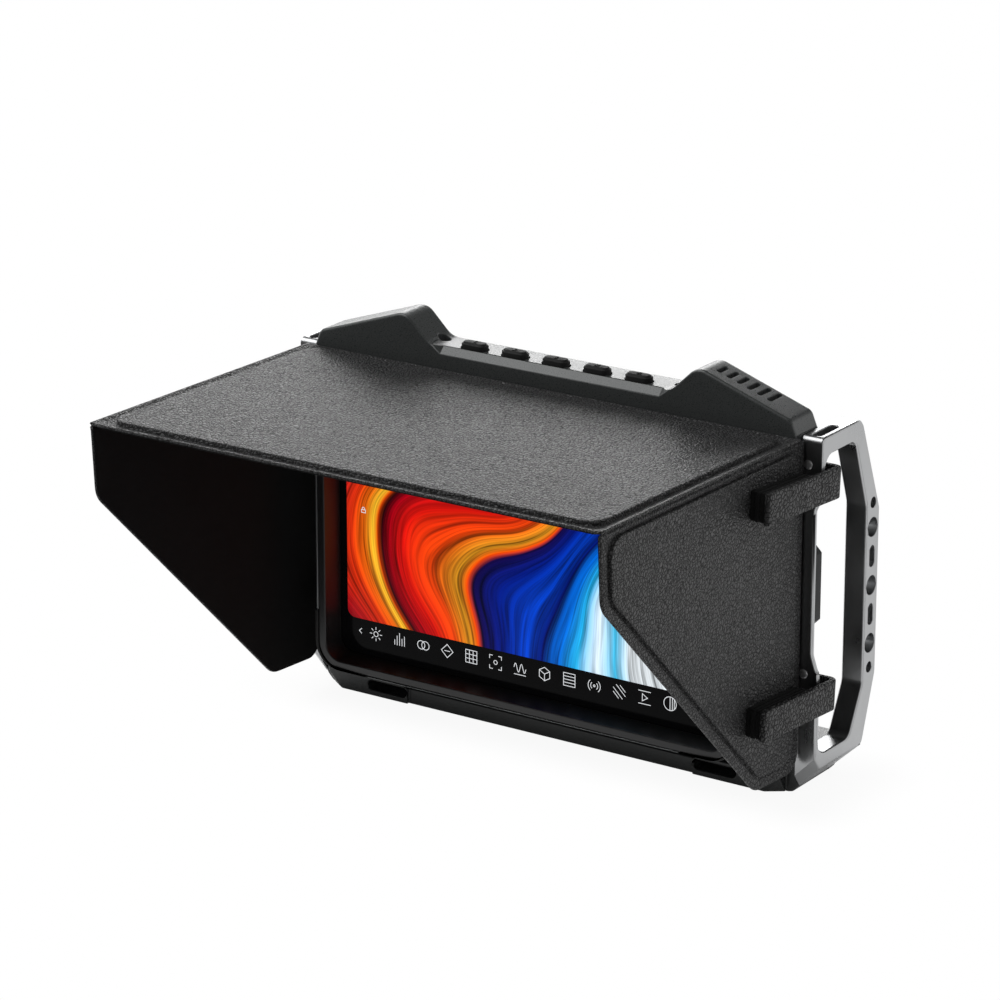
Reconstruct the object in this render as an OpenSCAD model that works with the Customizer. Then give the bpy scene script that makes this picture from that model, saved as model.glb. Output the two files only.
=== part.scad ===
/* [Display] */
// Width of the lit picture area
screen_w = 150.8; // [140:0.1:165]
// Height of the lit picture area
screen_h = 94.2; // [86:0.1:104]
// Front face of the cover glass, measured from the bottom thread's axis
glass_y = -22; // [-26:0.5:-18]
// Thickness of the cover glass
glass_t = 1.6; // [1:0.1:2.5]
// Thickness of the liquid crystal panel
lcd_t = 2.4; // [1.5:0.1:3]
// Thickness of the backlight behind the panel
backlight_t = 2.8; // [2:0.1:4]
// Thickness of the metal plate that carries the boards
chassis_t = 1.2; // [1:0.1:2]

/* [Bezel frame] */
// Frame beside the picture, from its lit edge to the outside
border_side = 6.6; // [6:0.1:9]
// Frame below the picture
border_bottom = 7.5; // [6:0.1:9]
// Frame above the picture
border_top = 5.3; // [5:0.1:8]
// How far the frame stands in front of the glass
frame_depth = 8; // [5:0.5:12]
// Width of the frame's flat front edge
frame_edge = 2.8; // [2:0.1:3.6]
// How much the shelf narrows from its front edge to the glass
shelf_draft = 1.2; // [0.4:0.1:1.6]
// Wall of the frame round the glass and the panel
frame_wall = 1.4; // [1:0.1:2]
// Outer corner radius of the frame
frame_r = 9; // [6:0.5:12]
// Air between the frame's underside and the bottom rail's top
frame_lift = 0.5; // [0.3:0.1:2]
// How far a corner bumper stands outside the frame
bumper_t = 1.2; // [0.8:0.1:2]
// Length of a corner bumper along each side of the frame
bumper_leg = 20; // [14:0.5:28]
// Thickness of the bright rim strips between the bumpers
rim_t = 0.7; // [0.5:0.1:1.1]
// Depth of the rim strips from front to back
rim_d = 3; // [2:0.1:5]

/* [Rear shell] */
// How far the shell is wider than the frame on each side
shell_step = 2; // [1:0.1:3]
// Depth of the shell behind the frame
shell_d = 31.5; // [28:0.5:38]
// Wall of the shell
shell_wall = 2.2; // [1.8:0.1:3]
// Corner radius of the shell seen from behind
shell_r = 6; // [4.5:0.5:9]
// How far the shell's top lies below the frame's top
shell_drop = 2; // [1:0.1:3]
// How far the side bosses stand out of the shell
boss_t = 2.8; // [1:0.1:4]
// Height of the side bosses
boss_h = 23; // [16:1:30]
// Width of a cooling slot
vent_w = 1.8; // [1:0.1:2.4]

/* [Battery plates] */
// Width of one battery plate
plate_w = 38; // [30:0.5:39]
// Height of one battery plate
plate_h = 70; // [50:1:72]
// Thickness of the battery plate's base
plate_t = 3.2; // [2.4:0.1:4]
// Half of the distance between the two plates' middles
plate_x = 21; // [20.5:0.5:21.5]
// Height of the plates' lower edge above the table
plate_z = 20; // [17:1:22]
// Height of the guide rails on a plate
guide_h = 3; // [2:0.1:4]
// Travel of the battery latch
latch_travel = 2; // [1:0.1:2.2]

/* [Cage] */
// Height of the bottom rail
rail_h = 14; // [12:0.5:18]
// Front face of the bottom rail's end blocks
rail_y0 = -13.5; // [-13.7:0.1:-12.5]
// Depth of the bottom rail
rail_d = 30; // [26:0.5:31]
// Height of the end blocks along the front of the rail
block_h = 7; // [6:0.5:9]
// Depth of the end blocks
block_d = 4.5; // [4:0.5:6]
// Half of the distance between the end blocks
block_x = 57; // [50:1:62]
// Length of the long slot in an end block
rail_slot_l = 16.2; // [12:0.5:20]
// Height of the long slot in an end block
rail_slot_h = 3.4; // [2.5:0.1:3.8]
// Distance between the shell's side and the handle's inner face
handle_gap = 10; // [8:0.5:14]
// Thickness of a handle, from its inner to its outer face
handle_t = 8; // [6:0.5:9]
// Depth of a handle from front to back
handle_d = 38.8; // [34:0.2:46]
// How far the handles rise above the frame
handle_rise = 1.5; // [0.5:0.1:3]
// Front face of a handle behind the frame's back
handle_set = 2.5; // [1.5:0.1:4]
// Slant of the handle's foot, which is cut at 45 degrees
foot_cut = 10; // [7:0.5:11]
// Slanted corner between a foot's front and its cut
foot_bevel = 3.4; // [1:0.1:4]
// Width of the rear bar that is held in the hand
bar_w = 8.8; // [8:0.1:11]
// Depth of the front pillar
pillar_d = 2.3; // [2.1:0.1:4]
// How much narrower the front pillar is between the straps
waist_cut = 2.3; // [0.5:0.1:3]
// Height of the top bar
top_bar_h = 6.5; // [5:0.1:7]
// Distance between the accessory holes along the rear bar
hole_pitch = 10; // [9:0.1:11]
// Height of the middle accessory hole
hole_z = 64.1; // [60:0.1:68]
// Radius of a quarter inch threaded hole, at its major diameter
thread_r = 3.175; // [3:0.005:3.3]
// How far the pins stand out of the pillars' front faces
pin_rise = 0.4; // [0.2:0.1:1]
// Radius of the small locating holes
pin_hole_r = 1.75; // [1:0.05:2]
// Width of the slots in the handles
slot_w = 3.3; // [2.5:0.1:3.8]
// Length of the slots in the rear bar
bar_slot_l = 7.1; // [5:0.1:7.6]
// Length of the slot in the top bar
top_slot_l = 13; // [8:0.5:14]
// Depth of the threaded insert in the bottom rail
insert_l = 10; // [6:0.5:11]
// Outer radius of the threaded insert
insert_r = 5; // [4.2:0.1:6]

/* [Control ridge] */
// Depth of the ridge from front to back
ridge_d = 14.2; // [13.5:0.1:18]
// Height of the ridge's two peaks above the shell
peak_h = 20.3; // [16:0.1:24]
// Half of the distance between the peaks
peak_x = 56.8; // [54:0.1:62]
// Height of the valley between the peaks above the shell
valley_h = 10.4; // [9.8:0.1:13]
// Half length of the flat valley floor
valley_x = 46.6; // [44:0.1:48]
// Height of the ridge's outer corners above the shell
end_h = 8.5; // [6:0.1:9]
// How far the ridge's ends lean inwards from their foot to these corners
end_lean = 2.1; // [0:0.1:4]
// Height of the leaning part of the ridge's ends
end_lean_h = 5.1; // [3:0.1:6]
// Wall of the ridge
ridge_wall = 2.2; // [1.8:0.1:2.8]
// Slanted edge along the front of the valley
ridge_bevel = 2.6; // [1:0.1:3]
// Number of air slots in the right shoulder
vent_count = 6; // [3:1:7]
// Distance between the air slots along X
vent_pitch = 3.75; // [3:0.05:3.9]
// Length of the air slot next to the peak
vent_l = 5.8; // [4:0.1:6]
// How much longer each air slot is than the one before
vent_grow = 0.45; // [0:0.05:0.5]

/* [Buttons] */
// Distance between the buttons
button_pitch = 16; // [14:0.5:17]
// Length of a button
button_l = 9.9; // [9:0.1:12]
// Width of a button
button_w = 4.5; // [4:0.1:5]
// How far a button stands above the valley floor
button_rise = 2.2; // [1:0.1:2.4]
// How far the row of buttons lies in front of the ridge's middle
button_set = 1.7; // [0:0.05:2]
// Travel of a button
button_travel = 0.7; // [0.4:0.1:0.8]

/* [Hood] */
// Depth of the hood in front of the ridge
hood_d = 117.2; // [90:0.2:135]
// How far the hood's side panels lie outside the handles' inner faces
hood_over = 1.9; // [1.8:0.1:3]
// Upward tilt of the hood's top, in degrees
hood_tilt = 1.24; // [0:0.02:2]
// Thickness of a panel's wrapped edge
panel_t = 0.9; // [0.8:0.1:2.4]
// How far the stiff board stands out of a panel
board_t = 0.8; // [0.6:0.1:1.8]
// Distance from a panel's edge to its stiff board
board_inset = 4.3; // [3:0.1:6]
// How much nearer a side panel's board lies to the fold
board_up = 2; // [0:0.1:2.5]
// Corner radius of the stiff boards
board_r = 6; // [3:0.5:8]
// Corner radius of the side panels
panel_r = 9; // [5:0.5:12]
// Thickness of the black lining
lining_t = 0.5; // [0.3:0.1:0.8]
// Height of the side panels' straight front edge
wing_front_h = 21.5; // [15:0.5:30]
// Height above the table of the side panels' lower edge
wing_z = 9.8; // [8:0.1:14]
// Length of the side panels' lower edge
wing_foot = 27; // [22:0.5:34]

/* [Straps] */
// Height of a strap
strap_h = 10.4; // [8:0.1:12]
// Thickness of a strap
strap_t = 2.2; // [1.5:0.1:2.6]
// Length of a strap's outer leg in front of the handle
strap_l = 36.5; // [25:0.5:42]
// How far a strap's turn lies behind the pillar's front
turn_set = 7.2; // [5:0.1:9]
// Distance from the handles' top to the middle of the upper straps
strap_drop = 15.5; // [14:0.5:18]
// Height of the lower straps' middle where they pass the pillars
strap_z_low = 35.5; // [30:0.5:38]
// Tilt of the straps
strap_tilt = 4; // [0:0.5:5]

/* [Cooling fan] */
// Radius of the fan's rotor
rotor_r = 18; // [14:0.2:18.4]
// Radius of the fan's hub
hub_r = 8; // [6:0.2:10]
// Number of blades on the rotor
blade_count = 9; // [5:1:11]
// Thickness of the fan
fan_t = 9; // [7:0.5:10]

/* [Fit] */
// Air between parts that move or lie beside each other
gap = 0.3; // [0.2:0.05:0.4]
// Radial clearance of a running fit
run = 0.05; // [0.03:0.01:0.1]

/* [Hidden] */
$fn = 48;
frame_hw = screen_w / 2 + border_side;
frame_z0 = rail_h + frame_lift;
screen_z0 = frame_z0 + border_bottom;
screen_z1 = screen_z0 + screen_h;
frame_z1 = screen_z1 + border_top;
frame_y0 = glass_y - frame_depth;
stack_y = [glass_y, glass_y + glass_t, glass_y + glass_t + lcd_t,
    glass_y + glass_t + lcd_t + backlight_t];
frame_y1 = stack_y[3] + chassis_t;
inner_hw = frame_hw - frame_wall;
inner_z0 = frame_z0 + frame_wall;
inner_z1 = frame_z1 - frame_wall;

shell_hw = frame_hw + shell_step;
shell_z1 = frame_z1 - shell_drop;
shell_y1 = frame_y1 + shell_d;
cavity_y1 = shell_y1 - shell_wall;
post_r = 3.4;
post_x = shell_hw - shell_wall - post_r + 0.6;
post_z = [rail_h + shell_wall + post_r - 0.6, shell_z1 - shell_wall - post_r + 0.6];
screw_r = 1.5;
screw_head_r = 2.7;
screw_head_h = 1.8;
boss_z = (rail_h + shell_z1) / 2 - 4;

handle_x0 = shell_hw + handle_gap;
handle_x1 = handle_x0 + handle_t;
handle_y0 = frame_y1 + handle_set;
handle_y1 = handle_y0 + handle_d;
handle_h = frame_z1 + handle_rise;
bar_y = handle_y1 - bar_w / 2;
foot_x = handle_x1 - foot_cut;
stud_l = 4;
stud_z = foot_cut + 0.6;
stud_r = 1.3;
ridge_stud_l = 1.7;
ridge_stud_z = shell_z1 + 1.3;
ridge_stud_r = 1;

ridge_hw = handle_x0 - gap;
ridge_y0 = frame_y1;
ridge_y1 = ridge_y0 + ridge_d;
ridge_y = (ridge_y0 + ridge_y1) / 2;
valley_z = shell_z1 + valley_h;
roof_z = valley_z - ridge_wall;
button_y = ridge_y - button_set;
flange_t = 0.8;
flange_z = roof_z - gap - flange_t;
board_z = shell_z1 + gap;
pcb_t = 1.6;
slope = (peak_h - end_h) / (ridge_hw - end_lean - peak_x);
ridge_screw_r = 2.2;

hood_hw = handle_x0 + hood_over;
hood_z0 = frame_z1 + gap;
hood_y1 = ridge_y0 - 2 * gap;
hood_y0 = hood_y1 - hood_d;
wing_y1 = handle_y0 - pin_rise - gap;
wing_z1 = hood_z0 - gap;
wing_x0 = hood_hw - panel_t;
board_x1 = hood_hw + board_t;

strap_z_up = handle_h - strap_drop;
strap_x0 = handle_x1 + gap;
strap_y0 = handle_y0 - strap_l;
turn_y0 = handle_y0 + turn_set + strap_h / 2 * sin(strap_tilt);
turn_y1 = turn_y0 + strap_t;

fan_x = 58;
fan_z = 90;
fan_box = 2 * rotor_r + 4.2;
fan_y1 = cavity_y1 - gap;
fan_y0 = fan_y1 - fan_t;
shaft_r = 1.5;

standoff_h = 2.5;
main_y0 = frame_y1 + standoff_h;
main_y1 = main_y0 + pcb_t;
main_x = [-76, 36];
main_z = [24, 112];
chips = [[10, 88, 20], [-22, 60, 16], [-50, 50, 12], [12, 48, 12]];
chip_h = 2;
sink_size = 32;
sink_x = chips[0][0] + (chips[0][2] - sink_size) / 2;
sink_z = chips[0][1] + (chips[0][2] - sink_size) / 2;
sink_base = 2;
fin_t = 1.4;
fin_count = 10;
radio_x = [-62, -30];
radio_z = [84, 108];
radio_t = 3.4;

hdmi_z = [33, 50];
usb_z = 86;
dc_z = 98;
port_y = main_y1 + 3.2;
dc_r = 4;
dc_y = main_y1 + dc_r + run;

plate_y1 = shell_y1 + plate_t;
latch_z = plate_z + 8;
latch_w = 14;
latch_h = 8;
contact_x = 6;
contact_z = plate_z + plate_h - 16;

light_metal = [0.66, 0.66, 0.66];

// ---- outlines ----

function left_of(v) = [-v.y, v.x] / norm(v);

// Moves every side of a counter-clockwise outline inwards by d.
function inset(p, d) = [
    for (i = [0 : len(p) - 1])
        let (k = len(p), a = left_of(p[i] - p[(i + k - 1) % k]), b = left_of(p[(i + 1) % k] - p[i]))
            p[i] + (a + b) * d / (1 + a * b)
];

function corner_arc(a, b, c, r, n) =
    let (
        u = (a - b) / norm(a - b),
        w = (c - b) / norm(c - b),
        half = acos(u * w) / 2,
        o = b + (u + w) / norm(u + w) * r / sin(half),
        s = b + u * r / tan(half) - o,
        e = b + w * r / tan(half) - o,
        from = atan2(s.y, s.x),
        turn = (atan2(e.y, e.x) - from + 540) % 360 - 180
    )
    [for (i = [0 : n]) o + r * [cos(from + turn * i / n), sin(from + turn * i / n)]];

// Rounds the corners of an outline, each with its own radius from the list r.
function rounded(p, r, n = 6) = [
    for (i = [0 : len(p) - 1])
        let (k = len(p))
            each r[i] > 0
                ? corner_arc(p[(i + k - 1) % k], p[i], p[(i + 1) % k], r[i], n)
                : [p[i]]
];

function all_of(p, r) = [for (q = p) r];

// Outline of a handle seen from the right: y, then z.
function handle_outline() = [
    [handle_y0, 0],
    [handle_y0 + handle_d / 2, 0],
    [handle_y1 - 7.8, 9.5],
    [handle_y1, 33],
    [handle_y1, hole_z + 26],
    [handle_y1 - 12.7, handle_h],
    [handle_y0, handle_h]
];

// Outline of the finger opening inside a handle.
function finger_outline() = let (
    front = handle_y0 + pillar_d,
    back = handle_y1 - bar_w,
    top = handle_h - top_bar_h
) [
    [front, 15],
    [back - 8, 15],
    [back, 31],
    [back, top - 24],
    [back - 8.3, top],
    [front, top]
];

// Outline of what the pillar lacks between the straps, seen from the front: x, then z.
function waist_outline() = let (
    edge = handle_x1 - waist_cut,
    low = strap_z_low + strap_h / 2 + 2,
    high = strap_z_up - strap_h / 2 + 1
) [
    [handle_x1 + 4, low],
    [handle_x1, low],
    [edge, low + 7],
    [edge, high - 5],
    [handle_x1, high],
    [handle_x1 + 4, high]
];

// Outline of the ridge seen from the front: x, then z.
function ridge_outline(base) = let (
    side = [
        [ridge_hw, base],
        [ridge_hw, shell_z1 + end_h - end_lean_h],
        [ridge_hw - end_lean, shell_z1 + end_h],
        [peak_x, shell_z1 + peak_h],
        [valley_x, valley_z]
    ],
    k = len(side)
) concat(side, [for (i = [k - 1 : -1 : 0]) [-side[i].x, side[i].y]]);

ridge_radii = [0, 2, 3, 5.5, 7, 7, 5.5, 3, 2, 0];

// Outline of a side panel seen from the right: y, then z.
function wing_outline(up = 0) = [
    [wing_y1, wing_z],
    [wing_y1, wing_top(wing_y1) + up],
    [hood_y0, wing_top(hood_y0) + up],
    [hood_y0 + 1.4, wing_z1 - wing_front_h],
    [wing_y1 - wing_foot, wing_z + 1.5]
];

wing_radii = [6, 0, 0, panel_r, panel_r];

// Height of the side panels' upper edge at a depth y, along the tilted top.
function wing_top(y) = wing_z1 + (hood_y1 - y) * tan(hood_tilt);

// Height of the ridge's sloping roof above a point on the right shoulder.
function roof_at(x) = shell_z1 + peak_h - slope * (x - peak_x);

// ---- building blocks ----

// Carries an outline drawn in y and z along X.
module along_x(x0, x1) {
    translate([x0, 0, 0])
        rotate([90, 0, 90])
            linear_extrude(x1 - x0)
                children();
}

// Carries an outline drawn in x and z along Y.
module along_y(y0, y1) {
    translate([0, y1, 0])
        rotate([90, 0, 0])
            linear_extrude(y1 - y0)
                children();
}

module box(x0, x1, y0, y1, z0, z1) {
    translate([x0, y0, z0])
        cube([x1 - x0, y1 - y0, z1 - z0]);
}

module round_rect(x0, x1, z0, z1, r) {
    translate([x0 + r, z0])
        square([x1 - x0 - 2 * r, z1 - z0]);
    translate([x0, z0 + r])
        square([x1 - x0, z1 - z0 - 2 * r]);
    for (x = [x0 + r, x1 - r], z = [z0 + r, z1 - r])
        translate([x, z])
            circle(r);
}

// A slot with round ends, its length along the first axis.
module pill(l, w) {
    square([l - w, w], center = true);
    for (s = [-1, 1])
        translate([s * (l - w) / 2, 0])
            circle(w / 2);
}

module rod_x(x0, x1, y, z, r) {
    translate([x0, y, z])
        rotate([0, 90, 0])
            cylinder(x1 - x0, r, r);
}

module rod_y(x, y0, y1, z, r) {
    translate([x, y1, z])
        rotate([90, 0, 0])
            cylinder(y1 - y0, r, r);
}

// Builds a piece on the right side, or its mirror image on the left.
module on_side(s) {
    mirror([s < 0 ? 1 : 0, 0, 0])
        children();
}

// ---- cage ----

module handle(s) {
    on_side(s)
        difference() {
            along_x(handle_x0, handle_x1)
                polygon(rounded(handle_outline(), [2, 14, 10, 8, 4, 4, 2]));
            along_x(handle_x0 - 1, handle_x1 + 1)
                polygon(rounded(finger_outline(), [5, 4, 6, 6, 4, 5]));
            along_y(handle_y0 - 1, handle_y0 + pillar_d + 1)
                polygon(rounded(waist_outline(), [0, 4, 5, 4, 3, 0]));
            handle_foot_cut();
            handle_holes();
            handle_stud_holes();
            pin_holes();
        }
}

// The slanted underside of a handle's foot, and the bevel along its front.
module handle_foot_cut() {
    along_y(handle_y0 - 1, handle_y1 + 1)
        polygon([[foot_x - 1, -1], [handle_x1 + 1, -1], [handle_x1 + 1, foot_cut + 1]]);
    translate([foot_x, handle_y0, 0])
        rotate([0, -45, 0])
            along_x(-2 * foot_cut, 2 * foot_cut)
                polygon([[-foot_bevel, 2 * foot_bevel], [-foot_bevel, -1], [foot_bevel + 1, -1]]);
}

module handle_holes() {
    for (i = [-2, 0, 2])
        rod_x(handle_x0 - 1, handle_x1 + 1, bar_y, hole_z + i * hole_pitch, thread_r);
    for (i = [-1, 1])
        along_x(handle_x0 - 1, handle_x1 + 1)
            translate([bar_y, hole_z + i * hole_pitch])
                rotate(90)
                    pill(bar_slot_l, slot_w);
    for (i = [-1, 1])
        rod_x(handle_x0 - 1, handle_x1 + 1, bar_y, hole_z + i * 2.84 * hole_pitch, pin_hole_r);
    translate([handle_x1 - slot_w - 0.5, handle_y0 + 2 + top_slot_l / 2, handle_h - top_bar_h])
        linear_extrude(top_bar_h + 1)
            rotate(90)
                pill(top_slot_l, slot_w);
}

// Two studs hold a handle's foot on the rail and a short one its top on the ridge.
module handle_stud_holes() {
    for (y = [-5, 5])
        rod_x(handle_x0, handle_x0 + stud_l + gap, y, stud_z, stud_r + run);
    rod_x(handle_x0, handle_x0 + ridge_stud_l + gap, ridge_y, ridge_stud_z, ridge_stud_r + run);
}

module handle_studs() {
    color("silver")
        for (s = [-1, 1])
            on_side(s) {
                for (y = [-5, 5])
                    rod_x(handle_x0 - stud_l, handle_x0 + stud_l, y, stud_z, stud_r);
                rod_x(handle_x0, handle_x0 + ridge_stud_l, ridge_y, ridge_stud_z, ridge_stud_r);
            }
}

module pin_places(s) {
    on_side(s)
        for (z = [strap_z_up + 6.2, strap_z_low + 7.6])
            translate([hood_hw + 1, handle_y0, z])
                children();
}

module pin_holes() {
    pin_places(1)
        rod_y(0, -1, 2, 0, 1 + run);
}

module pillar_pins() {
    color("silver")
        for (s = [-1, 1])
            pin_places(s) {
                rod_y(0, 0, 1.9, 0, 1);
                rod_y(0, -pin_rise, 0, 0, 1.5);
            }
}

module bottom_rail() {
    color([0.13, 0.14, 0.14])
        difference() {
            rail_solid();
            for (s = [-1, 1])
                on_side(s)
                    rail_side_cuts();
            translate([0, 0, -1])
                cylinder(insert_l + 1, insert_r + run, insert_r + run);
        }
}

module rail_solid() {
    box(-handle_x0, handle_x0, rail_y0 + block_d, rail_y0 + rail_d, 0, rail_h);
    box(-block_x, block_x, rail_y0 + 1, rail_y0 + block_d, 0, block_h - 1.5);
    for (s = [-1, 1])
        on_side(s)
            along_y(rail_y0, rail_y0 + block_d)
                polygon([[block_x, 0], [handle_x0 - 4, 0], [handle_x0 - 4, block_h],
                    [block_x + 2, block_h], [block_x, block_h - 1.5]]);
}

module rail_side_cuts() {
    along_y(rail_y0 - 1, rail_y0 + 7)
        translate([block_x + 0.4 + rail_slot_l / 2, block_h / 2 + 0.3])
            pill(rail_slot_l, rail_slot_h);
    handle_foot_cut();
    for (y = [-5, 5])
        rod_x(handle_x0 - stud_l - gap, handle_x0 + 1, y, stud_z, stud_r + run);
}

module thread_insert() {
    color("silver")
        difference() {
            cylinder(insert_l, insert_r, insert_r);
            translate([0, 0, -1])
                cylinder(insert_l + 2, thread_r, thread_r);
        }
}

// ---- control ridge ----

module control_ridge() {
    color([0.17, 0.18, 0.18])
        difference() {
            union() {
                along_y(ridge_y0, ridge_y1)
                    polygon(rounded(ridge_outline(shell_z1), ridge_radii));
                for (s = [-1, 1])
                    on_side(s)
                        box(ridge_hw - 1, handle_x0, handle_y0, ridge_y1 - 1, shell_z1, shell_z1 + 3.5);
            }
            along_y(ridge_y0 + ridge_wall, ridge_y1 - ridge_wall)
                polygon(inset(ridge_outline(shell_z1 - 2 * ridge_wall), ridge_wall));
            ridge_front_bevel();
            button_places()
                translate([0, 0, roof_z - 1])
                    linear_extrude(ridge_wall + 2)
                        pill(button_l + 2 * gap, button_w + 2 * gap);
            for (i = [0 : vent_count - 1])
                let (l = vent_l + i * vent_grow)
                    translate([peak_x + 5.2 + i * vent_pitch, ridge_y0 + 4.5 + l / 2, shell_z1 + end_h - 3])
                        linear_extrude(peak_h)
                            rotate(90)
                                pill(l, vent_w);
            ridge_screw_places()
                cylinder(ridge_wall + 5, ridge_screw_r + run, ridge_screw_r + run);
        }
}

// Section of the bevel b on the ridge's front edge at the height z.
module bevel_section(z, b) {
    polygon([[ridge_y0 - 1, z - b - 1], [ridge_y0 + b + 1, z + 1], [ridge_y0 - 1, z + 1]]);
}

// The bevel along the valley, which runs out on both slopes.
module ridge_front_bevel() {
    flat_x = valley_x - 4;
    end_x = valley_x + 2;
    slice = 0.1;
    along_x(-flat_x, flat_x)
        bevel_section(valley_z, ridge_bevel);
    for (s = [-1, 1])
        on_side(s)
            hull() {
                along_x(flat_x - slice, flat_x)
                    bevel_section(valley_z, ridge_bevel);
                along_x(end_x - slice, end_x)
                    bevel_section(valley_z + 2.4, 0.3);
            }
}

module ridge_screw_places() {
    for (s = [-1, 1])
        translate([s * (valley_x - 0.3), ridge_y + 1.3, roof_z - 1])
            children();
}

module ridge_screws() {
    color("dimgray")
        ridge_screw_places()
            cylinder(ridge_wall, ridge_screw_r, ridge_screw_r);
}

module button_places() {
    for (i = [-2 : 2])
        translate([i * button_pitch, button_y, 0])
            children();
}

module button(i) {
    color([0.06, 0.06, 0.06])
        translate([(i - 3) * button_pitch, button_y, 0]) {
            translate([0, 0, flange_z])
                linear_extrude(flange_t)
                    pill(button_l + 3 * gap, button_w + 4 * gap);
            translate([0, 0, flange_z])
                linear_extrude(valley_z + button_rise - 0.6 - flange_z)
                    pill(button_l, button_w);
            translate([0, 0, flange_z])
                linear_extrude(valley_z + button_rise - flange_z)
                    pill(button_l - 1.4, button_w - 1.2);
        }
}

module button_board() {
    color("darkgreen")
        box(-valley_x + 1.5, valley_x - 1.5, ridge_y0 + ridge_wall + gap, ridge_y1 - ridge_wall - gap,
            board_z, board_z + pcb_t);
}

module button_switches() {
    color("dimgray")
        button_places() {
            translate([-3, -3, board_z + pcb_t])
                cube([6, 6, 3]);
            translate([0, 0, board_z + pcb_t])
                cylinder(flange_z - button_travel - 0.1 - board_z - pcb_t, 1.6, 1.6);
        }
}

module antenna(s) {
    color("goldenrod")
        on_side(s)
            along_y(ridge_y, ridge_y + 1)
                polygon([[valley_x + 4, board_z], [shell_hw, board_z],
                    [shell_hw, roof_at(shell_hw) - ridge_wall - 2],
                    [peak_x + 1, roof_at(peak_x) - ridge_wall - 3.4],
                    [valley_x + 4, valley_z - ridge_wall - 0.6]]);
}

// ---- display ----

module bezel_frame() {
    color([0.04, 0.04, 0.04])
        difference() {
            along_y(frame_y0, frame_y1)
                round_rect(-frame_hw, frame_hw, frame_z0, frame_z1, frame_r);
            frame_shelf();
            along_y(glass_y, frame_y1 + 1)
                round_rect(-inner_hw, inner_hw, inner_z0, inner_z1, frame_r - frame_wall);
        }
}

// The drafted opening in front of the glass.
module frame_shelf() {
    hull() {
        frame_slice(frame_y0 - 0.05, frame_edge);
        frame_slice(glass_y + 0.05, frame_edge + shelf_draft);
    }
}

module frame_slice(y, edge) {
    along_y(y - 0.05, y + 0.05)
        round_rect(edge - frame_hw, frame_hw - edge, frame_z0 + edge, frame_z1 - edge, frame_r - edge,
            $fn = 32);
}

module corner_bumpers() {
    color([0.05, 0.05, 0.05])
        intersection() {
            along_y(frame_y0 - 0.5, frame_y0 + 14)
                difference() {
                    round_rect(-frame_hw - bumper_t, frame_hw + bumper_t, frame_z0 - 0.4,
                        frame_z1, frame_r + 0.4);
                    round_rect(-frame_hw, frame_hw, frame_z0, frame_z1, frame_r);
                }
            for (x = [-1, 1], z = [frame_z0, frame_z1])
                translate([x * frame_hw, frame_y0, z])
                    cube([2 * bumper_leg, 80, 2 * bumper_leg], center = true);
        }
}

module rim_strips() {
    color("gray") {
        for (s = [-1, 1])
            on_side(s)
                box(frame_hw, frame_hw + rim_t, frame_y0 - 0.2, frame_y0 + rim_d,
                    frame_z0 + bumper_leg + gap, frame_z1 - bumper_leg - gap);
        box(bumper_leg + gap - frame_hw, frame_hw - bumper_leg - gap, frame_y0 - 0.2,
            frame_y0 + rim_d, frame_z0 - rim_t / 2, frame_z0);
    }
}

module panel_layer(k, t, inset_by) {
    along_y(stack_y[k], stack_y[k] + t)
        round_rect(inset_by - inner_hw, inner_hw - inset_by, inner_z0 + inset_by, inner_z1 - inset_by,
            frame_r - frame_wall - inset_by);
}

module cover_glass() {
    color([0.05, 0.05, 0.06])
        panel_layer(0, glass_t, gap / 2);
}

module lcd_panel() {
    color("midnightblue")
        panel_layer(1, lcd_t, 1.6);
}

module backlight() {
    color("white")
        panel_layer(2, backlight_t, 1.6);
}

module chassis_plate() {
    color("silver") {
        panel_layer(3, chassis_t, gap / 2);
        for (x = [main_x[0] + 5, main_x[1] - 5], z = [main_z[0] + 5, main_z[1] - 5])
            rod_y(x, frame_y1, main_y0, z, 2.5);
    }
}

// ---- electronics ----

module main_board() {
    color("darkgreen") {
        box(main_x[0], main_x[1], main_y0, main_y1, main_z[0], main_z[1]);
        for (c = chips)
            translate([c[0], main_y1, c[1]])
                cube([c[2], chip_h, c[2]]);
    }
}

module radio_module() {
    color("lightgray")
        box(radio_x[0], radio_x[1], main_y1, main_y1 + radio_t, radio_z[0], radio_z[1]);
}

module heat_sink() {
    y0 = main_y1 + chip_h;
    color([0.3, 0.3, 0.32]) {
        box(sink_x, sink_x + sink_size, y0, y0 + sink_base, sink_z, sink_z + sink_size);
        for (i = [0 : fin_count - 1])
            translate([sink_x + i * (sink_size - fin_t) / (fin_count - 1), y0, sink_z])
                cube([fin_t, cavity_y1 - 4 - y0, sink_size]);
    }
}

module fan_housing() {
    half = fan_box / 2;
    color([0.08, 0.08, 0.08])
        difference() {
            union() {
                box(fan_x - half, fan_x + half, fan_y0, fan_y1, fan_z - half, fan_z + half);
                for (x = [-1, 1], z = [-1, 1])
                    rod_y(fan_x + x * (half - 2.5), frame_y1, fan_y0, fan_z + z * (half - 2.5), 2.5);
            }
            difference() {
                rod_y(fan_x, fan_y0 - 1, fan_y1 + 1, fan_z, rotor_r + 0.6);
                rod_y(fan_x, fan_y0, fan_y1 - 2 * gap, fan_z, shaft_r);
                for (a = [0, 90])
                    translate([fan_x, 0, fan_z])
                        rotate([0, a, 0])
                            box(-rotor_r - 1, rotor_r + 1, fan_y0, fan_y0 + 1.2, -1.5, 1.5);
            }
        }
}

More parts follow.
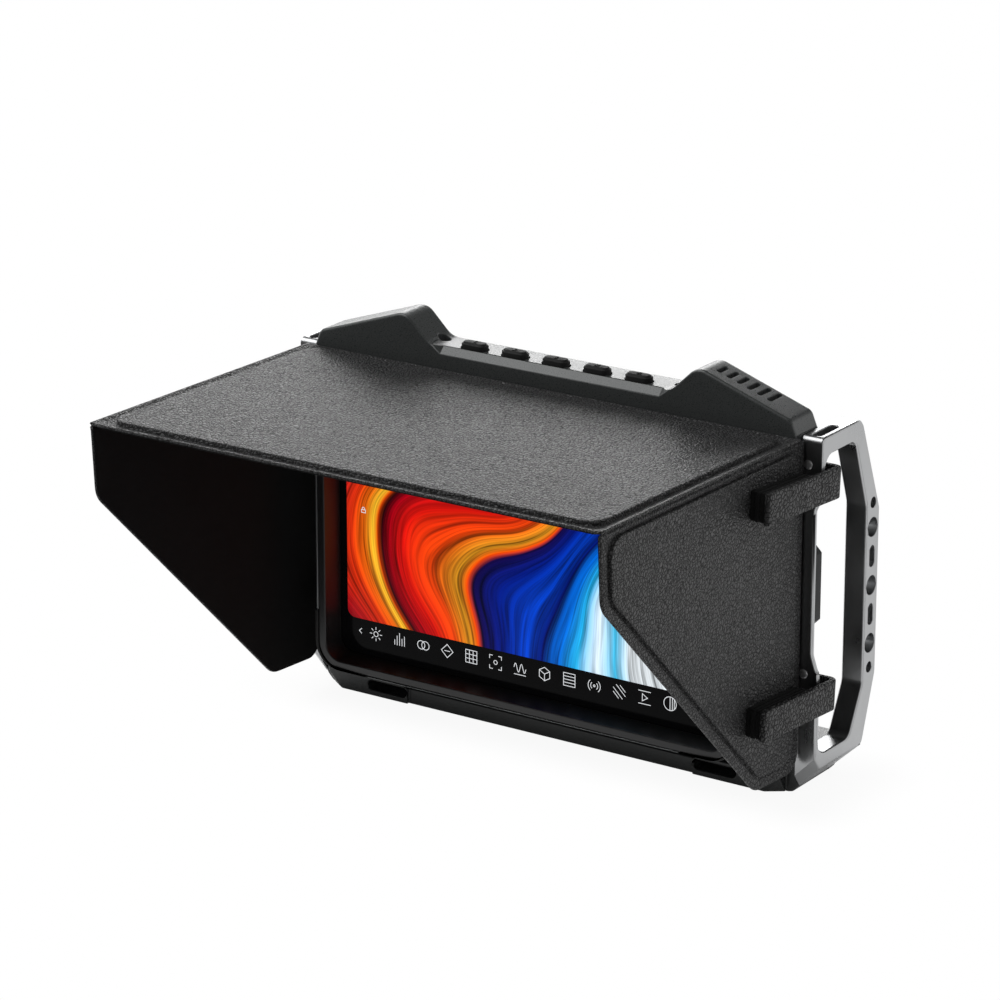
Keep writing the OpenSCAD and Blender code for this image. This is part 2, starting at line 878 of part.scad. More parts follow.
module fan_rotor() {
    y0 = fan_y0 + 1.2 + gap;
    y1 = fan_y1 - gap;
    color([0.1, 0.1, 0.1])
        difference() {
            union() {
                rod_y(fan_x, y0, y1, fan_z, hub_r);
                for (i = [0 : blade_count - 1])
                    translate([fan_x, 0, fan_z])
                        rotate([0, i * 360 / blade_count, 0])
                            translate([hub_r - 1, (y0 + y1) / 2, 0])
                                rotate([35, 0, 0])
                                    translate([0, -3.4, -0.5])
                                        cube([rotor_r - hub_r + 0.9, 6.8, 1]);
            }
            rod_y(fan_x, y0 - 1, y1 + 1, fan_z, shaft_r + run);
        }
}

// ---- rear shell ----

module rear_shell() {
    color([0.07, 0.07, 0.07])
        difference() {
            union() {
                shell_walls();
                shell_posts();
                for (s = [-1, 1])
                    on_side(s)
                        side_boss();
            }
            shell_rear_cuts();
            port_cuts();
        }
}

module shell_walls() {
    difference() {
        along_y(frame_y1, shell_y1)
            round_rect(-shell_hw, shell_hw, rail_h, shell_z1, shell_r);
        along_y(frame_y1 - 1, cavity_y1)
            round_rect(shell_wall - shell_hw, shell_hw - shell_wall, rail_h + shell_wall,
                shell_z1 - shell_wall, shell_r - shell_wall);
    }
}

module shell_posts() {
    for (x = [-post_x, post_x], z = post_z)
        rod_y(x, frame_y1, shell_y1 - 1, z, post_r);
}

module side_boss() {
    along_y(shell_y1 - 15, shell_y1 - 0.6)
        polygon([[shell_hw - 1, boss_z - boss_h / 2 - boss_t], [shell_hw, boss_z - boss_h / 2 - boss_t],
            [shell_hw + boss_t, boss_z - boss_h / 2], [shell_hw + boss_t, boss_z + boss_h / 2],
            [shell_hw, boss_z + boss_h / 2 + boss_t], [shell_hw - 1, boss_z + boss_h / 2 + boss_t]]);
}

module shell_rear_cuts() {
    for (x = [-post_x, post_x], z = post_z) {
        rod_y(x, shell_y1 - 14, shell_y1 + 1, z, screw_r + run);
        rod_y(x, shell_y1 - screw_head_h, shell_y1 + 1, z, screw_head_r + run);
    }
    for (i = [-4 : 4])
        along_y(cavity_y1 - 1, shell_y1 + 1)
            translate([fan_x, fan_z + i * 3.6])
                pill(2 * sqrt(pow(rotor_r, 2) - pow(3.6 * i, 2)), vent_w);
    for (i = [0 : 9])
        along_y(cavity_y1 - 1, shell_y1 + 1)
            translate([-66 + i * 3.6, fan_z + 8])
                rotate(90)
                    pill(22, vent_w);
}

module rear_screws() {
    color("dimgray")
        for (x = [-post_x, post_x], z = post_z) {
            rod_y(x, shell_y1 - 12, shell_y1 - screw_head_h, z, screw_r);
            difference() {
                rod_y(x, shell_y1 - screw_head_h, shell_y1 - 0.3, z, screw_head_r);
                rod_y(x, shell_y1 - 1.2, shell_y1, z, 1.1, $fn = 6);
            }
        }
}

// ---- ports on the left side ----

module port_cuts() {
    x = -shell_hw - 1;
    for (z = hdmi_z)
        box(x, x + 6, port_y - 3.2, port_y + 3.2, z - 8, z + 8);
    box(x, x + 6, port_y - 2.2, port_y + 2.2, usb_z - 5, usb_z + 5);
    rod_x(x, x + 6, dc_y, dc_z, dc_r + run);
}

module hdmi_ports() {
    color("silver")
        for (z = hdmi_z)
            difference() {
                box(-shell_hw + 0.2, -shell_hw + 12, port_y - 3, port_y + 3, z - 7.8, z + 7.8);
                difference() {
                    box(-shell_hw - 1, -shell_hw + 10, port_y - 2.3, port_y + 2.3, z - 7, z + 7);
                    box(-shell_hw + 2, -shell_hw + 10, port_y - 0.4, port_y + 0.6, z - 5.8, z + 5.8);
                }
            }
}

module usb_port() {
    color("silver")
        difference() {
            box(-shell_hw + 0.2, -shell_hw + 9, port_y - 2, port_y + 2, usb_z - 4.8, usb_z + 4.8);
            box(-shell_hw - 1, -shell_hw + 7, port_y - 1.3, port_y + 1.3, usb_z - 4.2, usb_z + 4.2);
        }
}

module dc_jack() {
    color([0.1, 0.1, 0.1]) {
        difference() {
            rod_x(-shell_hw + 0.2, -shell_hw + 12, dc_y, dc_z, dc_r);
            rod_x(-shell_hw - 1, -shell_hw + 10, dc_y, dc_z, dc_r - 1.1);
        }
        rod_x(-shell_hw + 1, -shell_hw + 11, dc_y, dc_z, 1);
    }
}

// ---- battery plates ----

module battery_plate(s) {
    x0 = s * plate_x - plate_w / 2;
    x1 = s * plate_x + plate_w / 2;
    color([0.09, 0.09, 0.09])
        difference() {
            union() {
                along_y(shell_y1, plate_y1)
                    round_rect(x0, x1, plate_z, plate_z + plate_h, 3);
                for (x = [x0 + 1, x1 - 3.4])
                    box(x, x + 2.4, plate_y1, plate_y1 + guide_h, plate_z + 16, plate_z + plate_h - 8);
                box(x0 + 3.4, x1 - 3.4, plate_y1, plate_y1 + 1.4, contact_z - 5, contact_z + 5);
            }
            latch_space(s * plate_x, gap);
            for (x = [-contact_x, contact_x])
                box(s * plate_x + x - 1 - run, s * plate_x + x + 1 + run, plate_y1 - 1, plate_y1 + 4,
                    contact_z - 3 - run, contact_z + 3 + run);
        }
}

module latch_space(x, more) {
    box(x - latch_w / 2 - more, x + latch_w / 2 + more, shell_y1 + 0.6, plate_y1 + 4,
        latch_z - latch_h / 2 - more, latch_z + latch_h / 2 + more);
}

module battery_contacts() {
    color("gold")
        for (s = [-1, 1], x = [-contact_x, contact_x])
            box(s * plate_x + x - 1, s * plate_x + x + 1, plate_y1 - 1, plate_y1 + 3,
                contact_z - 3, contact_z + 3);
}

module battery_latch(s) {
    color([0.16, 0.16, 0.17])
        difference() {
            box(s * plate_x - latch_w / 2, s * plate_x + latch_w / 2, shell_y1 + 0.7 + latch_travel,
                plate_y1 + 3, latch_z - latch_h / 2, latch_z + latch_h / 2);
            for (i = [-1, 0, 1])
                box(s * plate_x - latch_w / 2 - 1, s * plate_x + latch_w / 2 + 1,
                    plate_y1 + 2.5, plate_y1 + 4,
                    latch_z + i * 2 - 0.4, latch_z + i * 2 + 0.4);
        }
}

// ---- hood ----

// Tilts the hood's top about its lower rear edge.
module tilted() {
    translate([0, hood_y1, hood_z0])
        rotate([-hood_tilt, 0, 0])
            translate([0, -hood_y1, -hood_z0])
                children();
}

module hood_top_panel() {
    color([0.2, 0.2, 0.2])
        tilted()
            box(-hood_hw, hood_hw, hood_y0, hood_y1, hood_z0, hood_z0 + panel_t);
}

module hood_top_board() {
    color([0.24, 0.24, 0.24])
        tilted()
            translate([0, 0, hood_z0 + panel_t])
                linear_extrude(board_t)
                    round_rect(board_inset - hood_hw, hood_hw - board_inset,
                        hood_y0 + board_inset, hood_y1 - board_inset, board_r);
}

module hood_top_lining() {
    color([0.03, 0.03, 0.03])
        tilted()
            box(-wing_x0 + lining_t + gap, wing_x0 - lining_t - gap, hood_y0 + 2, frame_y0 - 2,
                hood_z0 - lining_t, hood_z0);
}

module wing_panel(s) {
    color([0.16, 0.16, 0.16])
        on_side(s)
            along_x(wing_x0, hood_hw)
                polygon(rounded(wing_outline(), wing_radii));
}

module wing_board(s) {
    board = inset(wing_outline(board_up), board_inset);
    color([0.19, 0.19, 0.19])
        on_side(s)
            along_x(hood_hw, board_x1)
                polygon(rounded(board, all_of(board, board_r)));
}

module wing_lining(s) {
    color([0.03, 0.03, 0.03])
        on_side(s)
            along_x(wing_x0 - lining_t, wing_x0)
                polygon(rounded(inset(wing_outline(), 1.5), all_of(wing_radii, 5)));
}

// ---- straps ----

// Places a strap at a height, tilted about the pillar that it goes round.
module strap_at(s, z) {
    on_side(s)
        translate([0, handle_y0, z])
            rotate([-strap_tilt, 0, 0])
                translate([0, -handle_y0, 0])
                    children();
}

module strap(s, z) {
    color([0.18, 0.18, 0.18])
        strap_at(s, z)
            box(strap_x0, strap_x0 + strap_t, strap_y0, turn_y1, -strap_h / 2, strap_h / 2);
}

module strap_pads(s) {
    color([0.05, 0.05, 0.05])
        for (z = [strap_z_up, strap_z_low])
            strap_at(s, z)
                box(board_x1, strap_x0, strap_y0, wing_y1 - board_inset - 1,
                    0.4 - strap_h / 2, strap_h / 2 - 0.4);
}

// The strap's turn behind the pillar and its inner leg.
module strap_loops(s) {
    x0 = handle_x0 - gap / 2 - strap_t;
    color([0.18, 0.18, 0.18])
        for (z = [strap_z_up, strap_z_low])
            strap_at(s, z) {
                box(x0, handle_x1, turn_y0, turn_y1, -strap_h / 2, strap_h / 2);
                box(x0, x0 + strap_t, handle_y0, turn_y0, -strap_h / 2, strap_h / 2);
            }
}

module handle_right() {
    color(light_metal)
        handle(1);
}

module handle_left() {
    color(light_metal)
        handle(-1);
}

handle_right();
handle_left();
bottom_rail();
thread_insert();
handle_studs();
pillar_pins();
control_ridge();
ridge_screws();
button_board();
button_switches();
for (i = [1 : 5])
    button(i);
antenna(-1);  // antenna_left
antenna(1);  // antenna_right
bezel_frame();
corner_bumpers();
rim_strips();
cover_glass();
lcd_panel();
backlight();
chassis_plate();
main_board();
radio_module();
heat_sink();
fan_housing();
fan_rotor();
rear_shell();
rear_screws();
hdmi_ports();
usb_port();
dc_jack();
battery_plate(-1);  // battery_plate_left
battery_plate(1);  // battery_plate_right
battery_contacts();
battery_latch(-1);  // battery_latch_left
battery_latch(1);  // battery_latch_right
hood_top_panel();
hood_top_board();
hood_top_lining();
wing_panel(1);  // wing_right_panel
wing_board(1);  // wing_right_board
wing_lining(1);  // wing_right_lining
wing_panel(-1);  // wing_left_panel
wing_board(-1);  // wing_left_board
wing_lining(-1);  // wing_left_lining
strap(1, strap_z_up);  // strap_upper_right
strap(1, strap_z_low);  // strap_lower_right
strap(-1, strap_z_up);  // strap_upper_left
strap(-1, strap_z_low);  // strap_lower_left
strap_pads(1);  // strap_pads_right
strap_pads(-1);  // strap_pads_left
strap_loops(1);  // strap_loops_right
strap_loops(-1);  // strap_loops_left
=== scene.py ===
"""The looks of a camera field monitor with a folding sun hood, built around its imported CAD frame.

Laid out as an add-on and run as a script. Each operator makes one piece or a group of like pieces.
Lengths are in metres in the CAD's own frame: X to the right, Y to the back, Z up.
"""

import math

import bmesh
import bpy
import numpy as np
from bpy.props import FloatProperty, FloatVectorProperty, IntProperty, PointerProperty
from bpy.types import Operator, Panel, PropertyGroup
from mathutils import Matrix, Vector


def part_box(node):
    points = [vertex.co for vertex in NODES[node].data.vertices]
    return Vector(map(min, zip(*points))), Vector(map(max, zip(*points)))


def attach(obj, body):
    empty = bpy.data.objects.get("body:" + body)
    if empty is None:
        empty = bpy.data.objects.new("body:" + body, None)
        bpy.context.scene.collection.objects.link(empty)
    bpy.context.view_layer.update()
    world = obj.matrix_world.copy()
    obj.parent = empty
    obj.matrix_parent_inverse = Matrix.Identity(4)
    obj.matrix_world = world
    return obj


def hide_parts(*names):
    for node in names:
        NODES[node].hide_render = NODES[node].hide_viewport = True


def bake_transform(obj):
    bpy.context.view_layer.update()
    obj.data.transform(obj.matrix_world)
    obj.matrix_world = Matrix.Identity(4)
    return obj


bl_info = {
    "name": "Field monitor looks",
    "version": (1, 0, 0),
    "blender": (4, 5, 0),
    "location": "View3D > Sidebar > Field monitor",
    "description": "Visible pieces and finishes of a field monitor with a sun hood",
    "category": "Object",
}

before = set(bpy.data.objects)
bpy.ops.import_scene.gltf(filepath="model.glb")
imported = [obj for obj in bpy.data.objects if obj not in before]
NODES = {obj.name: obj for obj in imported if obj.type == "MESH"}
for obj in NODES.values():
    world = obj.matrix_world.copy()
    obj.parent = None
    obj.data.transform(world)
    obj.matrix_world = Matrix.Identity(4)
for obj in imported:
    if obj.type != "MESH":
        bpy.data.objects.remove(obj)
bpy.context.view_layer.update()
MM = 0.001


# ---------------------------------------------------------------- sizes and colours


def number(name, default, description, **limits):
    """A number that the user can change."""
    return FloatProperty(name=name, description=description, default=default, **limits)


def length(name, default, description):
    """A size in metres that the user can change, given in millimetres."""
    return number(name, default * MM, description, unit="LENGTH", subtype="DISTANCE", precision=5)


def angle(name, default, description):
    """An angle that the user can change, given in degrees."""
    return number(name, math.radians(default), description, unit="ROTATION", subtype="ANGLE")


def colour(name, default, description):
    """A colour that the user can change."""
    return FloatVectorProperty(
        name=name, description=description, default=(*default, 1.0), size=4, min=0.0, max=1.0, subtype="COLOR"
    )


class HoodSettings(PropertyGroup):
    """Sizes and colours of the sun hood and its straps."""

    leather: colour("Leatherette", (0.032, 0.032, 0.0325), "Colour of the hood's grained skin")
    strap_leather: colour("Strap leather", (0.026, 0.026, 0.0265), "Colour of the straps")
    lining: colour("Lining", (0.0035, 0.0035, 0.0035), "Colour of the hood's flocked inside")
    pebble: length("Grain", 1.25, "Width of one pebble in the leather grain")
    strap_pebble: length("Strap grain", 1.6, "Width of one pebble in the straps' grain")
    grain_depth: length("Grain depth", 0.3, "Depth of the creases between the pebbles")
    ripple: length("Ripple", 0.05, "How far the skin waves over its boards")
    front_height: length("Front height", 24.0, "Height of a side panel's straight front edge")
    foot_length: length("Foot length", 27.0, "Length of a side panel's lower edge")
    rim: length("Rim", 4.3, "Distance from a panel's edge to its stiff board")
    rim_at_fold: length("Rim at the fold", 2.3, "Distance from the fold to a side panel's stiff board")
    stitch: length("Stitch", 1.3, "Distance between the ribs along the folds")
    hood_tilt: angle("Hood tilt", 1.24, "Upward tilt of the hood's top")
    strap_tilt: angle("Strap tilt", 4.0, "How much higher the straps are in front")


class CageSettings(PropertyGroup):
    """Edge sizes and colours of the cage, the control ridge and the shell."""

    handle_metal: colour("Handle metal", (0.40, 0.405, 0.41), "Bead blasted aluminium of the handles")
    powder_coat: colour("Powder coat", (0.056, 0.060, 0.0595), "Paint of the ridge and the bottom rail")
    shell_plastic: colour("Shell plastic", (0.018, 0.018, 0.019), "Moulded rear shell")
    bezel_plastic: colour("Bezel plastic", (0.011, 0.011, 0.0115), "Frame around the screen")
    rubber: colour("Rubber", (0.007, 0.007, 0.007), "Buttons and corner bumpers")
    handle_edge: length("Handle edge", 0.7, "Bevel of the handles' outline")
    ridge_edge: length("Ridge edge", 1.1, "Rounding of the ridge's outline")
    hole_edge: length("Hole edge", 0.3, "Rounding of holes and slots")
    shell_edge: length("Shell edge", 0.8, "Rounding of the rear shell")


class ScreenSettings(PropertyGroup):
    """The picture and the row of symbols on the screen."""

    half_width: length("Half width", 75.4, "Half of the picture's width")
    bottom: length("Bottom", 31.2, "Height of the picture's lower edge")
    top: length("Top", 116.2, "Height of the picture's upper edge")
    symbol_pitch: length("Symbol pitch", 9.77, "Distance between the symbols under the picture")
    symbol_size: length("Symbol size", 2.5, "Half of a symbol's height")
    symbol_height: length("Symbol height", 26.8, "Height of the symbols' middles")
    stroke: length("Stroke", 0.26, "Width of the symbols' lines")
    glow: number("Glow", 1.0, "Strength of the lit picture", min=0.0, soft_max=3.0)


class ButtonSettings(PropertyGroup):
    """The row of rubber buttons."""

    count: IntProperty(name="Buttons", description="Buttons on the ridge", default=5, min=1, max=5)
    ledge: length("Ledge", 0.6, "How far the upper tier of a button is set in")
    legend_height: length("Legend height", 0.24, "How far the raised marks stand up")
    legend_stroke: length("Legend stroke", 0.42, "Width of the raised marks' lines")


class StageSettings(PropertyGroup):
    """Floor, lamps and camera."""

    azimuth: angle("Azimuth", 33.79, "Turn of the camera about the object")
    elevation: angle("Elevation", 18.57, "Height of the camera above the horizon")
    camera_place: FloatVectorProperty(
        name="Camera place",
        description="Where the camera stands",
        default=(0.7528, -1.1666, 0.5470),
        size=3,
        unit="LENGTH",
        subtype="TRANSLATION",
    )
    lens: number("Lens", 158.86, "Focal length in millimetres", min=20.0, max=400.0)
    key_power: number("Key power", 10.5, "Watts of the overhead lamp", min=0.0)
    back_power: number("Back power", 3.8, "Watts of the low lamp behind", min=0.0)
    fill: number("Fill", 0.42, "Light from all around on matt surfaces", min=0.0)
    ceiling: angle("Ceiling", 24.0, "Height above the horizon where mirrors see the dark ceiling")
    ceiling_light: number("Ceiling light", 0.05, "Brightness of the ceiling in mirrors", min=0.0, max=1.0)
    front_light: number("Front light", 0.1, "Brightness in mirrors of what is in front", min=0.0, max=1.0)
    floor: colour("Floor", (0.93, 0.93, 0.93), "Pale studio floor")
    shadow: number("Shadow", 0.07, "How much of the floor's shadow shows", min=0.0, max=1.0)


class MonitorLooks(PropertyGroup):
    """All settings of the field monitor."""

    hood: PointerProperty(type=HoodSettings)
    cage: PointerProperty(type=CageSettings)
    screen: PointerProperty(type=ScreenSettings)
    buttons: PointerProperty(type=ButtonSettings)
    stage: PointerProperty(type=StageSettings)


# ---------------------------------------------------------------- finishes


class Nodes:
    """Adds nodes to a tree. A value may be a number, a colour or another node's output."""

    def __init__(self, tree):
        self.tree = tree

    def give(self, socket, value):
        if isinstance(value, bpy.types.NodeSocket):
            self.tree.links.new(value, socket)
        elif hasattr(value, "__len__"):
            socket.default_value = (*value, 1.0)[: len(socket.default_value)]
        else:
            socket.default_value = value

    def node(self, kind, inputs=None, **settings):
        made = self.tree.nodes.new(kind)
        for name, value in settings.items():
            setattr(made, name, value)
        for name, value in (inputs or {}).items():
            self.give(made.inputs[name], value)
        return made

    def math(self, operation, a, b=0.0, c=0.0):
        return self.node("ShaderNodeMath", {0: a, 1: b, 2: c}, operation=operation).outputs[0]

    def past(self, value, reach):
        """How far |value| lies past reach: max(|value| - reach, 0)."""
        return self.math("MAXIMUM", self.math("SUBTRACT", self.math("ABSOLUTE", value), reach), 0.0)

    def far(self, a, b):
        """The distance sqrt(a a + b b)."""
        return self.math("SQRT", self.math("ADD", self.math("MULTIPLY", a, a), self.math("MULTIPLY", b, b)))

    def vector(self, operation, a, b=(0.0, 0.0, 0.0), scale=1.0):
        made = self.node("ShaderNodeVectorMath", {0: a, 1: b, 3: scale}, operation=operation)
        return made.outputs[0]

    def span(self, value, low, high, to_low=0.0, to_high=1.0, smooth=False):
        """Maps low..high to to_low..to_high and clamps the rest."""
        inputs = {"Value": value, "From Min": low, "From Max": high, "To Min": to_low, "To Max": to_high}
        kind = "SMOOTHSTEP" if smooth else "LINEAR"
        return self.node("ShaderNodeMapRange", inputs, interpolation_type=kind).outputs["Result"]

    def mix(self, factor, a, b):
        return self.node("ShaderNodeMix", {0: factor, 6: a, 7: b}, data_type="RGBA").outputs[2]

    def ramp(self, value, stops):
        made = self.node("ShaderNodeValToRGB", {"Fac": value})
        elements = made.color_ramp.elements
        for place, shade in stops[1:-1]:
            elements.new(place).color = (*shade, 1.0)
        for end in (0, -1):
            elements[end].position, elements[end].color = stops[end][0], (*stops[end][1], 1.0)
        return made.outputs["Color"]


class Finish(Nodes):
    """One material's nodes around its Principled shader; patterns read Object coordinates."""

    def __init__(self, name, **sockets):
        self.material = bpy.data.materials.new(name)
        self.material.use_nodes = True
        super().__init__(self.material.node_tree)
        self.shader = self.tree.nodes["Principled BSDF"]
        self.place = self.node("ShaderNodeTexCoord").outputs["Object"]
        for socket, value in sockets.items():
            self.set(socket.replace("_", " "), value)

    def set(self, socket, value):
        """Sets or links one of the shader's own sockets."""
        names = {name.lower(): name for name in self.shader.inputs.keys()}
        self.give(self.shader.inputs[names[socket.lower()]], value)

    def noise(self, size, detail=2.0, vector=None, output="Fac", rough=0.5):
        """Noise whose lumps are about size metres wide."""
        inputs = {"Vector": vector or self.place, "Scale": 1.0 / size, "Detail": detail, "Roughness": rough}
        return self.node("ShaderNodeTexNoise", inputs).outputs[output]

    def axes(self):
        return self.node("ShaderNodeSeparateXYZ", {0: self.place}).outputs[:3]

    def tones(self, value, base, dark, light, low=0.3, high=0.7):
        """The base colour between its shades dark and light, as the value goes from low to high."""
        return self.mix(self.span(value, low, high), shade(base, dark), shade(base, light))

    def done(self, tone, rough, height, depth):
        """Sets colour and roughness, presses the height in as a bump and returns the material."""
        self.set("Base Color", tone)
        self.set("Roughness", rough)
        bump = self.node("ShaderNodeBump", {"Height": height, "Distance": depth, "Strength": 1.0})
        self.set("Normal", bump.outputs["Normal"])
        return self.material


def shade(base, factor):
    """A colour made lighter or darker."""
    return tuple(min(1.0, factor * c) for c in tuple(base)[:3])


def leather(name, base, pebble, depth, rough=0.42):
    """Grained leatherette: domed pebbles between soft creases, with fine pores and slow folds; the creases get
    painted shade.
    """
    f = Finish(name)
    drift = f.vector("SCALE", f.noise(1.6 * pebble, output="Color"), scale=1.1 * pebble)
    inputs = {"Vector": f.vector("ADD", f.place, drift), "Scale": 1.0 / pebble, "Randomness": 1.0}
    cells = f.node("ShaderNodeTexVoronoi", inputs, feature="DISTANCE_TO_EDGE").outputs["Distance"]
    raised = f.span(cells, 0.0, 0.3, smooth=True)
    crease = f.span(cells, 0.0, 0.13)
    lumps = f.noise(2.4 * pebble)
    height = f.math("MULTIPLY_ADD", f.noise(0.3 * pebble, 3.0), 0.15, raised)
    height = f.math("MULTIPLY_ADD", lumps, 1.4, height)
    height = f.math("MULTIPLY_ADD", f.noise(9.0 * pebble, 3.0), 0.9, height)
    # Painted shade: the creases between the pebbles are darkened to 0.35 of the base colour.
    tone = f.mix(crease, shade(base, 0.35), f.tones(lumps, base, 0.85, 1.15, 0.35, 0.65))
    f.set("Specular IOR Level", f.span(crease, 0.0, 1.0, 0.12, 0.5))
    return f.done(tone, f.span(crease, 0.0, 1.0, rough + 0.2, rough), height, depth)


def flock(name, base, size=0.25 * MM, depth=0.08 * MM):
    """Matt black flock: short fibres in all directions that catch light at the edges."""
    f = Finish(name, specular_ior_level=0.1, sheen_weight=0.04, sheen_roughness=0.5)
    worn = f.noise(18 * MM)
    return f.done(f.mix(worn, shade(base, 0.7), shade(base, 1.4)), 0.95, f.noise(size, 4.0, rough=0.7), depth)


def blasted_metal(name, base, rough=0.3):
    """Bead blasted metal: fine dents, slow changes of gloss and faint handling marks."""
    f = Finish(name, metallic=1.0)
    clouds = f.noise(14 * MM, 3.0)
    rubs = f.noise(3 * MM, 4.0, vector=f.vector("MULTIPLY", f.place, (1.0, 1.0, 0.18)))
    worn = f.math("ADD", clouds, f.math("MULTIPLY", rubs, 0.5))
    gloss = f.span(worn, 0.5, 1.0, rough - 0.04, rough + 0.06)
    return f.done(f.tones(clouds, base, 0.94, 1.05), gloss, f.noise(0.18 * MM), 0.006 * MM)


def powder_coat(name, base):
    """Powder coated metal: a fine orange skin with tiny light specks."""
    grain, rough = 0.32 * MM, 0.3
    f = Finish(name, metallic=0.25, specular_ior_level=0.6)
    skin = f.noise(grain, 3.0)
    specks = f.span(f.noise(0.6 * grain, 1.0), 0.62, 0.74)
    tone = f.tones(f.noise(20 * MM), base, 0.92, 1.08)
    tone = f.mix(f.span(skin, 0.35, 0.65), shade(base, 0.7), tone)
    tone = f.mix(f.math("MULTIPLY", specks, 0.4), tone, shade(base, 2.6))
    return f.done(tone, f.span(skin, 0.3, 0.7, rough - 0.05, rough + 0.08), skin, 0.03 * MM)


def moulded(name, base, grain=0.35 * MM, rough=0.5, depth=0.012 * MM, level=0.45):
    """Moulded plastic with a fine spark eroded texture."""
    f = Finish(name, specular_ior_level=level)
    skin = f.noise(grain, 3.0, rough=0.6)
    gloss = f.span(f.noise(25 * MM), 0.3, 0.7, rough - 0.04, rough + 0.05)
    return f.done(f.tones(skin, base, 0.88, 1.14), gloss, skin, depth)


def turned_metal(name, base, rough=0.3):
    """Turned or drawn metal with fine lines round its length."""
    f = Finish(name, metallic=1.0)
    lines = f.noise(0.5 * MM, 3.0, vector=f.vector("MULTIPLY", f.place, (6.0, 6.0, 0.6)))
    tone = f.mix(lines, shade(base, 0.85), shade(base, 1.1))
    return f.done(tone, f.span(lines, 0.3, 0.7, rough - 0.06, rough + 0.08), lines, 0.004 * MM)


def circuit(name, base, top_y):
    """Solder resist with copper tracks and vias; everything behind top_y is a black chip."""
    f = Finish(name, specular_ior_level=0.5)
    x, y, z = f.axes()
    flat = f.node("ShaderNodeCombineXYZ", {"X": x, "Y": z, "Z": 0.0}).outputs[0]
    inputs = {"Vector": flat, "Scale": 160.0, "Mortar Size": 0.035, "Brick Width": 0.9, "Row Height": 0.22}
    tracks = f.node("ShaderNodeTexBrick", inputs).outputs["Fac"]
    vias = f.node("ShaderNodeTexVoronoi", {"Scale": 330.0}, feature="F1").outputs["Distance"]
    green = f.mix(tracks, shade(base, 0.8), shade(base, 1.9))
    green = f.mix(f.span(vias, 0.16, 0.12), green, (0.35, 0.28, 0.12))
    tone = f.mix(f.math("GREATER_THAN", y, top_y), green, (0.012, 0.012, 0.013))
    return f.done(tone, f.span(f.noise(2 * MM, 3.0), 0.3, 0.7, 0.28, 0.4), tracks, 0.02 * MM)


def lit_white(name):
    """Strokes of the screen's symbols, a little uneven as small lit pixels are."""
    f = Finish(name, base_color=(0.02, 0.02, 0.02), roughness=0.2, emission_strength=0.85)
    pixels = f.noise(0.12 * MM, 0.0)
    f.set("Emission Color", f.mix(f.span(pixels, 0.3, 0.7), (0.72, 0.74, 0.76), (0.95, 0.97, 1.0)))
    return f.material


# The picture's colours, from its left side to its right side.
STREAMS = [
    (0.00, (0.16, 0.0, 0.012)), (0.10, (0.50, 0.008, 0.010)), (0.19, (0.78, 0.035, 0.004)),
    (0.245, (1.0, 0.17, 0.005)), (0.285, (1.0, 0.56, 0.03)), (0.305, (0.60, 0.05, 0.0)),
    (0.325, (0.012, 0.0, 0.004)), (0.355, (0.45, 0.0, 0.008)), (0.41, (0.78, 0.008, 0.003)),
    (0.475, (0.96, 0.07, 0.003)), (0.53, (1.0, 0.42, 0.02)), (0.555, (0.85, 0.06, 0.0)),
    (0.57, (0.006, 0.001, 0.05)), (0.63, (0.0, 0.012, 0.26)), (0.70, (0.0, 0.055, 0.62)),
    (0.75, (0.0, 0.004, 0.12)), (0.80, (0.0, 0.17, 0.82)), (0.85, (0.02, 0.50, 0.92)),
    (0.90, (0.74, 0.86, 0.95)), (0.95, (0.04, 0.56, 0.90)), (1.00, (0.86, 0.92, 0.96)),
]  # fmt: skip


def screen_picture(name, settings, glass_front):
    """Glass with an anti-reflective coat over a lit panel: warm and cold streams between black borders.

    With s and t going from 0 to 1 across and up the picture, the place in STREAMS is s bent by two
    sines of s and t and by slow noise. Stretched noise along the streams draws their fine lines.
    """
    f = Finish(name, base_color=(0.004, 0.004, 0.0045), specular_ior_level=0.06)
    x, y, z = f.axes()
    s = f.span(x, -settings.half_width, settings.half_width)
    t = f.span(z, settings.bottom, settings.top)
    drift = f.noise(60 * MM, 1.0, rough=0.3)
    swell = f.math("SINE", f.math("MULTIPLY_ADD", t, 3.6, 0.4))
    lean = f.math("SINE", f.math("MULTIPLY_ADD", s, 5.2, f.math("MULTIPLY", t, 2.0)))
    stream = f.math("ADD", s, f.math("MULTIPLY", swell, 0.13))
    stream = f.math("ADD", stream, f.math("MULTIPLY", lean, 0.06))
    stream = f.math("MULTIPLY_ADD", f.math("SUBTRACT", drift, 0.5), 0.34, stream)
    stream = f.math("MULTIPLY_ADD", stream, 1.22, f.math("MULTIPLY_ADD", t, -0.2, 0.03))
    paint = f.ramp(stream, STREAMS)
    along = f.math("MULTIPLY", f.math("ADD", t, f.math("MULTIPLY", s, 0.4)), 0.022)
    across = f.math("MULTIPLY", stream, 0.9)
    lines = f.node("ShaderNodeCombineXYZ", {"X": across, "Y": along, "Z": 0.0}).outputs[0]
    broad = f.noise(22 * MM, 3.0, vector=lines, rough=0.6)
    fine = f.noise(6 * MM, vector=lines)
    depth = f.math("ADD", f.math("MULTIPLY", broad, 1.5), f.math("MULTIPLY", fine, 0.7))
    lit = f.vector("SCALE", paint, scale=f.span(depth, 0.8, 1.3, 0.2, 1.2))
    front = f.math("LESS_THAN", y, glass_front + 0.1 * MM)
    shown = f.math("MULTIPLY", rounded_window(f, x, z, settings, 3.0 * MM), front)
    f.set("Emission Color", f.mix(shown, (0.0, 0.0, 0.0), lit))
    f.set("Emission Strength", settings.glow)
    f.set("Roughness", f.span(f.noise(30 * MM, 3.0), 0.3, 0.7, 0.07, 0.13))
    return f.material


